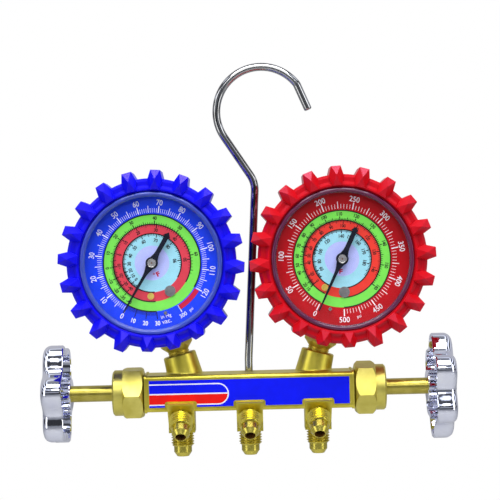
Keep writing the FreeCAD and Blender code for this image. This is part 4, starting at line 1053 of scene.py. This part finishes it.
def lathe_mesh(name, outline, columns=128):
    """A closed outline of radius and height, in millimetres, turned to face the viewer."""
    mesh = bmesh.new()
    rings = []
    for column in range(columns):
        turn = 2 * math.pi * column / columns
        rings.append([mesh.verts.new(on_circle(radius, turn, height)) for radius, height in outline])
    join_rings(mesh, rings)
    bmesh.ops.remove_doubles(mesh, verts=mesh.verts, dist=weld_reach)
    bmesh.ops.dissolve_degenerate(mesh, edges=mesh.edges, dist=0.0001 * MM)
    made = smooth_mesh(mesh, name, crease=40.0)
    made.transform(facing_viewer)
    return made


def paint_zones(mesh, zones):
    """Each face takes the material of the first zone whose inner radius it lies beyond."""
    for face in mesh.polygons:
        reach = math.hypot(face.center.x, face.center.z) / MM
        face.material_index = next(material for inner, material in zones if reach > inner)


for side in sides:
    blank = bmesh.new()
    edge = pointer_edge + [(-x, z) for x, z in pointer_edge[-2::-1]]
    slab(blank, edge, -pointer_face, -pointer_back)
    blank.from_mesh(lathe_mesh("pointer_hub", hub_outline))
    needle = finished(blank, side + "_pointer_pressed")
    place = gauge_place[side] @ Matrix.Rotation(math.radians(zero_angle[side]), 4, "Y")
    piece = add_piece(
        side + "_pointer_pressed", needle, [pointer_black], place, side + "_pointer")
    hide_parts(side + "_pointer")
    cap = lathe_mesh(side + "_arbor_cap", cap_outline, columns=64)
    add_piece(side + "_arbor_cap", cap, cap_materials, place, side + "_pointer")
    paint_zones(cap, cap_zones)


# The cover is moulded in clear polycarbonate: a flat window in a rounded glossy bead, coloured with a
# painted reflection of the boot round it; the boot's lip holds it down on a thin rubber gasket.
window_face = 20.6
window_back = 19.1
window_radius = 31.8
window_groove = 0.3
bead_radius = 1.0
bead_middle = 32.8
bead_height = 21.0
bead_overlap = 0.4
cover_radius = 33.8
flange_back = 19.9
skirt_radius = 32.5
skirt_end = 17.9
# The bead's colours are painted reflections of the blue and the red boot round each cover.
bead_painted_reflections = {"low": (0.05, 0.09, 0.50), "high": (0.12, 0.015, 0.07)}
cover_outline = [(0.0, window_back), (0.0, window_face), (window_radius - window_groove, window_face)]
cover_outline += arc((bead_middle, bead_height), bead_radius, 180, 0, 12)
cover_outline += [
    (cover_radius, flange_back), (skirt_radius, flange_back), (skirt_radius, skirt_end),
    (window_radius, skirt_end), (window_radius, window_back),
]
cover_zones = ((window_radius - bead_overlap, 1), (-1.0, 0))


def clear_plastic(name, colour, roughness, clearness, gloss):
    """Clear plastic that lets the lamps through to what lies behind it."""
    plastic = new_material(name, colour, 0.0, roughness, gloss)
    tree = plastic.node_tree
    shade = tree.nodes["Principled BSDF"]
    shade.inputs["Transmission Weight"].default_value = clearness
    shade.inputs["IOR"].default_value = 1.45
    passing = add_node(tree, "BsdfTransparent")
    path = add_node(tree, "LightPath")
    blend = add_node(tree, "MixShader")
    wire(
        tree,
        (path, "Is Shadow Ray", blend, "Fac"),
        (shade, "BSDF", blend, 1),
        (passing, "BSDF", blend, 2),
        (blend, "Shader", tree.nodes["Material Output"], "Surface"),
    )
    return plastic


clear_window = clear_plastic("clear_window", (1.0, 1.0, 1.0), roughness=0.0, clearness=1.0, gloss=0.3)
for side in sides:
    # Each bead is coloured with the painted reflection of its boot.
    bead = clear_plastic(
        side + "_bead_painted_reflection", bead_painted_reflections[side], roughness=0.12, clearness=0.3, gloss=0.75)
    cover = lathe_mesh(side + "_cover_moulded", cover_outline, columns=192)
    piece = add_piece(
        side + "_cover_moulded", cover, [clear_window, bead], gauge_place[side],
        "manifold")
    paint_zones(cover, cover_zones)
    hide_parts(side + "_gauge_lens")
    lip = worn_material(
        side + "_cover_gasket", metal=0.0, patches=500.0,
        dark=darker(boot_colours[side], 0.8), light=boot_colours[side], roughness=(0.5, 0.7))
    dress(side + "_lens_gasket", lip)
